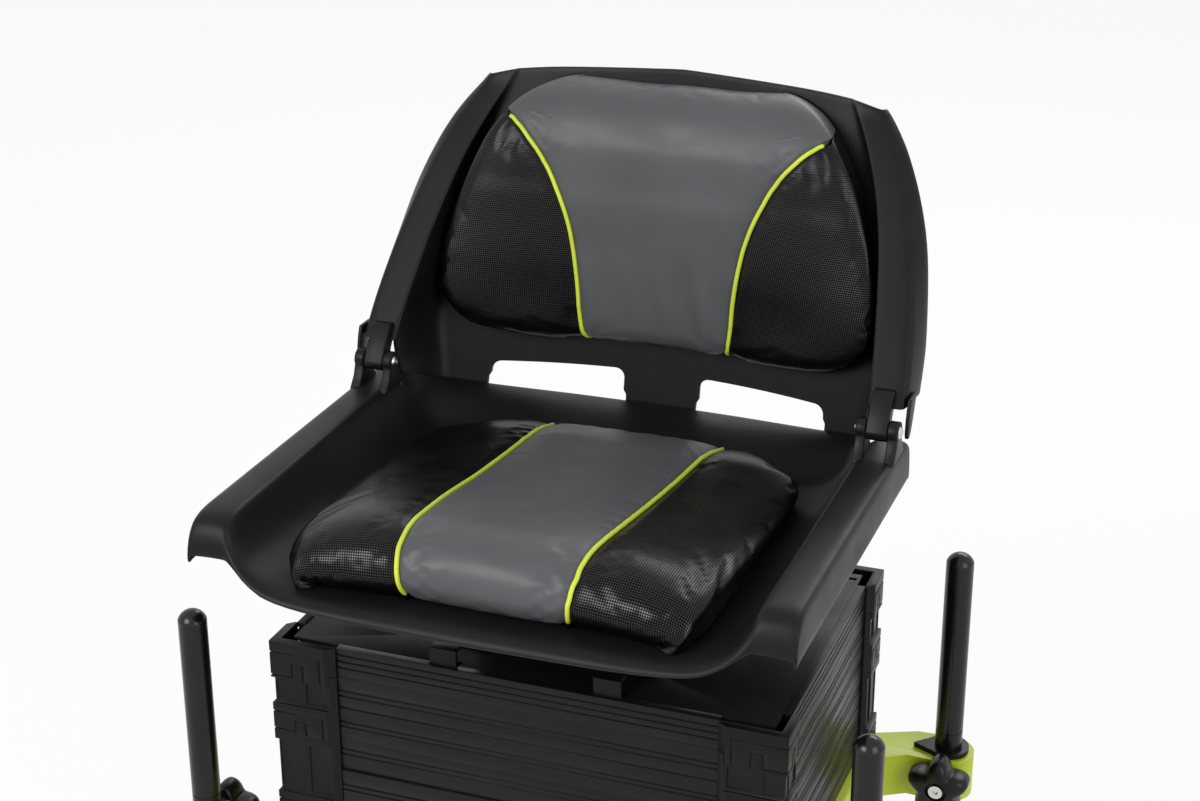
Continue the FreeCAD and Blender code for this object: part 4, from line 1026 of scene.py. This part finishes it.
def seat_relief(side, x, y, z, gap):
    """Soft waves everywhere, and creases where the vinyl gathers at the front corners."""
    height = 1.2 * ripples(x, y, z, 55.0, 1.0)
    front = bump_at(y + 222, 16.0)
    corner = bump_at(np.abs(x) - 146, 30.0) * front
    near_seam = bump_at(gap - 9, 9.0) * front * bump_at(z - 112, 12.0)
    if side == "middle":
        return height + 0.5 * near_seam * wrinkles(x, y, z, 30.0, 4.0)
    creased = 2.6 * corner + 1.4 * near_seam + 0.5 * front
    return height + creased * wrinkles(x, y, z * 0.6, 26.0, 2.0)


def seat_seam_x(y, z, row):
    return np.full(np.shape(y), float(row_at(SEAT_LINES, row)[2]))


def build_seat_cushion():
    v, u = np.meshgrid(np.linspace(-1, 1, 71), np.linspace(-1, 1, 67), indexing="ij")
    grid = seat_place(u, v)
    x, y, z = counted(grid)
    held = np.abs(np.abs(x) - row_at(SEAT_LINES, v)[2]) < CLOTH_HELD
    grid = inflate(grid, held, 1.5, 0.005)
    sewn_cover("seat_cushion", grid, seat_seam_x, seat_relief, seat_bed, "seat")


# Back cushion, from the foot up: height and depth of the front at the piping, and the half width.
BACK_LINES = [
    (169.5, 205, 152), (169.8, 197, 159), (172.5, 187, 169), (178, 179, 181), (186, 175.5, 191),
    (200, 175.2, 201), (222, 175.6, 206), (245, 176, 206), (267, 177.2, 203), (288, 178.4, 198),
    (307, 179.2, 192), (326, 181.3, 185), (344, 182.4, 177), (356, 183.6, 171), (366, 186, 165),
    (376, 190.5, 158), (386, 197, 149), (394, 205, 139), (400, 214.5, 128), (404, 225, 117),
    (406.5, 236, 106), (407, 245, 98),
]
BACK_SEAM = curve([(168, 66.5), (178, 69), (200, 72.3), (222, 74), (245, 76.5), (267, 79.8), (288, 85),
                   (307, 91.9), (326, 100.8), (344, 111.5), (355, 120), (366, 130.5), (372, 138),
                   (378, 148), (384, 161), (392, 190)])
# Above this height the cloth isn't held along the back's piping.
BACK_SEAM_TOP = 376.0
# The grey middle is lowered this much at this height, and less around it, so that it clears the
# seat cushion when the back is folded down.
FOLD_ROOM, FOLD_ROOM_Z = 3.6, 372.0
BACK_SIDE = 0.62
CORNER_LIFT = 13.0


def back_bed(x, y, z):
    return places(x, panel_y(x, z) - BED_GAP, z)


def back_pad_place(u, v):
    z, y_seam, half = row_at(BACK_LINES, v)
    share, under = across(u)
    x_seam = np.minimum(BACK_SEAM(z), 0.66 * half)
    front = panel_y(x_seam, z) - BED_GAP - y_seam
    crown = front / swell(x_seam / half, BACK_SIDE)
    x = half * share * (1 - UNDERCUT * under)
    z = z + CORNER_LIFT * np.clip((x - 110) / 90, 0, 1) ** 2 * np.clip((230 - z) / 60, 0, 1)
    y = panel_y(x, z) - BED_GAP - crown * swell(share, BACK_SIDE) * (1 - under)
    return places(x * np.sign(u), y, z)


def back_relief(side, x, y, z, gap):
    """Soft upright folds low on the grey middle, and slack waves on the sides."""
    height = 1.4 * ripples(x, y, z, 60.0, 8.0)
    low = bump_at(z - 205, 48.0)
    folds = np.sin(x * 0.17 + 1.2 * np.sin(z * 0.025) + 0.6) * (0.5 + ripples(x, y, z, 90.0, 3.0))
    if side == "middle":
        height = height - FOLD_ROOM * bump_at(z - FOLD_ROOM_Z, 32.0) * np.clip(1 - (x / 135) ** 2, 0, 1)
        return height + 2.2 * folds * low + 0.4 * wrinkles(x * 1.4, y, z * 0.35, 40.0, 6.0) * low
    rim = bump_at(z - 182, 16.0)
    return height + 1.0 * rim * wrinkles(x, y, z, 34.0, 5.0)


def back_seam_x(y, z, row):
    return BACK_SEAM(z)


def build_back_cushion():
    v, u = np.meshgrid(np.linspace(-1, 1, 71), np.linspace(-1, 1, 71), indexing="ij")
    grid = back_pad_place(u, v)
    x, y, z = counted(grid)
    held = (np.abs(np.abs(x) - BACK_SEAM(z)) < CLOTH_HELD) & (z < BACK_SEAM_TOP)
    grid = inflate(grid, held, 0.8, 0.003)
    sewn_cover("back_cushion", grid, back_seam_x, back_relief, back_bed, "back")


# Clamp knobs: five soft lobes with a recess for the screw's head.
KNOB_RADIUS = 29.0
KNOB_LOBES = 5
KNOB_CUT = 0.34
# Distance in metres from the frame's origin to the side of the clamp that a knob starts from.
CLAMP_FACE_Y = 0.1416
# Share of the radius, millimetres along the axis, and how deep the lobes are cut.
KNOB_RINGS = [
    (0.30, 0.0, 0.0), (0.62, 0.0, 0.35), (0.86, 0.2, 1.0), (0.95, 1.6, 1.0), (1.0, 5.0, 1.0),
    (1.0, 16.0, 1.0), (0.96, 20.5, 1.0), (0.86, 23.8, 0.9), (0.68, 25.8, 0.6), (0.46, 26.8, 0.2),
    (0.34, 26.9, 0.0), (0.31, 26.0, 0.0), (0.30, 22.2, 0.0), (0.14, 22.2, 0.0),
]


def build_knob(corner):
    node = "clamp_knob_" + corner
    low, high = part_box(node)
    stud_low, stud_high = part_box("clamp_stud_" + corner)
    start_y, end_y = sorted((low.y, high.y), key=lambda y: abs(abs(y) - CLAMP_FACE_Y))
    direction = 1 if end_y > start_y else -1
    centre = Vector(((low.x + high.x) / 2, start_y, (stud_low.z + stud_high.z) / 2))
    bm = bmesh.new()
    segments = 90
    rings = []
    for share, along, cut in KNOB_RINGS:
        ring = []
        for i in range(segments):
            angle = 2 * math.pi * i / segments
            wave = 0.5 + 0.5 * math.cos(KNOB_LOBES * angle)
            depth = 1 - cut * KNOB_CUT * (1 - wave ** 0.8)
            radius = KNOB_RADIUS * share * depth * MM
            twist = angle + math.pi / 2
            offset = Vector((radius * math.cos(twist), direction * along * MM, radius * math.sin(twist)))
            ring.append(bm.verts.new(centre + offset))
        rings.append(ring)
    ringed(bm, rings)
    knob = shade(mesh_from(bm, node + "_lobed"), 45)
    painted(knob, FINISH["knob_black_plastic"])
    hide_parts(node)
    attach(knob, corner + "_knob")


def paint_frame():
    """Every node that still shows gets the finish of its slot."""
    for part in frame["record"]["subparts"]:
        obj = frame["nodes"][part["node"]]
        if not obj.hide_render:
            painted(obj, FINISH.get(part["material_slot"]))


SOFT_EDGES = {
    "drawer_unit_corners": 0.35, "tray_unit_corners": 0.35, "lid_corners": 0.35,
    "drawer_unit_front_rail": 0.3, "drawer_unit_back_panel": 0.3, "drawer_unit_side_panels": 0.3,
    "tray_unit_long_panels": 0.3, "tray_unit_side_panels": 0.3, "lid_long_rails": 0.35,
    "lid_side_rails": 0.35, "lid_panel": 0.5, "drawer_front": 0.3, "drawer_pull": 0.8,
    "catch_left": 0.5, "catch_right": 0.5, "frame_rails": 1.0, "leg_bushes": 1.0,
    "swivel_pedestal": 1.5, "swivel_lower_plate": 0.6, "swivel_upper_plate": 0.6,
}


def soften_frame():
    slots = {part["node"]: part["material_slot"] for part in frame["record"]["subparts"]}
    nodes = dict(SOFT_EDGES)
    for corner in CORNERS:
        nodes["corner_arm_" + corner] = 3.0
    for node, width in nodes.items():
        obj = softened(node, width, 3 if width >= 1 else 2)
        painted(obj, FINISH[slots[node]])


# Camera, light and floor
CAMERA_PLACE = Vector((0.62318307, -1.6222372 + MIDDLE_Y * MM, 1.29880189))
CAMERA_RIGHT = Vector((0.93662202, 0.35032876, -0.00299237))
CAMERA_UP = Vector((-0.132978, 0.36339973, 0.92209408))
CAMERA_LENS = 66.945


def make_camera():
    data = bpy.data.cameras.new("camera")
    data.sensor_fit = "HORIZONTAL"
    data.sensor_width = 36.0
    data.lens = CAMERA_LENS
    data.clip_end = 60.0
    camera = add_object("camera", data)
    back = CAMERA_RIGHT.cross(CAMERA_UP).normalized()
    up = back.cross(CAMERA_RIGHT).normalized()
    turn = Matrix((CAMERA_RIGHT.normalized(), up, back)).transposed()
    camera.matrix_world = Matrix.Translation(CAMERA_PLACE) @ turn.to_4x4()
    bpy.context.scene.camera = camera


def area_light(name, place, target, size, power):
    data = bpy.data.lights.new(name, "AREA")
    data.shape = "RECTANGLE"
    data.size, data.size_y = size
    data.energy = power
    light = add_object(name, data)
    light.location = place
    light.rotation_mode = "QUATERNION"
    light.rotation_quaternion = (Vector(target) - Vector(place)).to_track_quat("-Z", "Y")


# How bright the floor looks by itself, and the world's light on things and as it is seen.
FLOOR_GLOW = 0.88
WORLD_GLOW = (0.5, 1.0)


def seen_rays(tree):
    """1 for rays from the camera, a gloss or a clear surface, 0 for those that only light things."""
    path = tree.nodes.new("ShaderNodeLightPath")
    seen = path.outputs["Is Camera Ray"]
    for ray in ("Is Glossy Ray", "Is Transmission Ray"):
        highest = tree.nodes.new("ShaderNodeMath")
        highest.operation = "MAXIMUM"
        tree.links.new(seen, highest.inputs[0])
        tree.links.new(path.outputs[ray], highest.inputs[1])
        seen = highest.outputs[0]
    return seen


def make_stage():
    floor = bpy.data.meshes.new("floor")
    floor.from_pydata([(-30, -30, 0), (30, -30, 0), (30, 30, 0), (-30, 30, 0)], [], [(0, 1, 2, 3)])
    obj = add_object("floor", floor)
    made = Finish("floor_paint", (0.9, 0.9, 0.9), 0.9, spec=0.1)
    painted(obj, made.material)
    seen = seen_rays(made.tree)
    share = made.node("ShaderNodeMath", operation="MULTIPLY")
    share.inputs[1].default_value = FLOOR_GLOW
    made.link(seen, share.inputs[0])
    mix = made.node("ShaderNodeMixShader")
    made.link(share.outputs[0], mix.inputs["Fac"])
    made.link(made.bsdf.outputs["BSDF"], mix.inputs[1])
    made.link(made.node("ShaderNodeEmission").outputs["Emission"], mix.inputs[2])
    made.link(mix.outputs[0], made.tree.nodes["Material Output"].inputs["Surface"])

    world = bpy.data.worlds.new("studio")
    bpy.context.scene.world = world
    world.use_nodes = True
    tree = world.node_tree
    background = tree.nodes["Background"]
    seen = seen_rays(tree)
    strength = tree.nodes.new("ShaderNodeMapRange")
    strength.inputs["To Min"].default_value, strength.inputs["To Max"].default_value = WORLD_GLOW
    tree.links.new(seen, strength.inputs["Value"])
    tree.links.new(strength.outputs["Result"], background.inputs["Strength"])
    background.inputs["Color"].default_value = (1, 1, 1, 1)

    area_light("key", (-1.2, -2.6, 2.1), (0, 0, 0.5), (1.8, 1.4), 60)
    area_light("fill", (2.4, -1.4, 1.6), (0, 0, 0.5), (1.6, 1.6), 25)
    area_light("rim", (0.4, 2.4, 2.2), (0, 0, 0.6), (2.0, 1.0), 30)


build_seat_shell()
build_back_shell()
build_seat_cushion()
build_back_cushion()
for corner in CORNERS:
    build_knob(corner)
soften_frame()
paint_frame()
make_camera()
make_stage()
bpy.context.scene.view_settings.view_transform = "Standard"
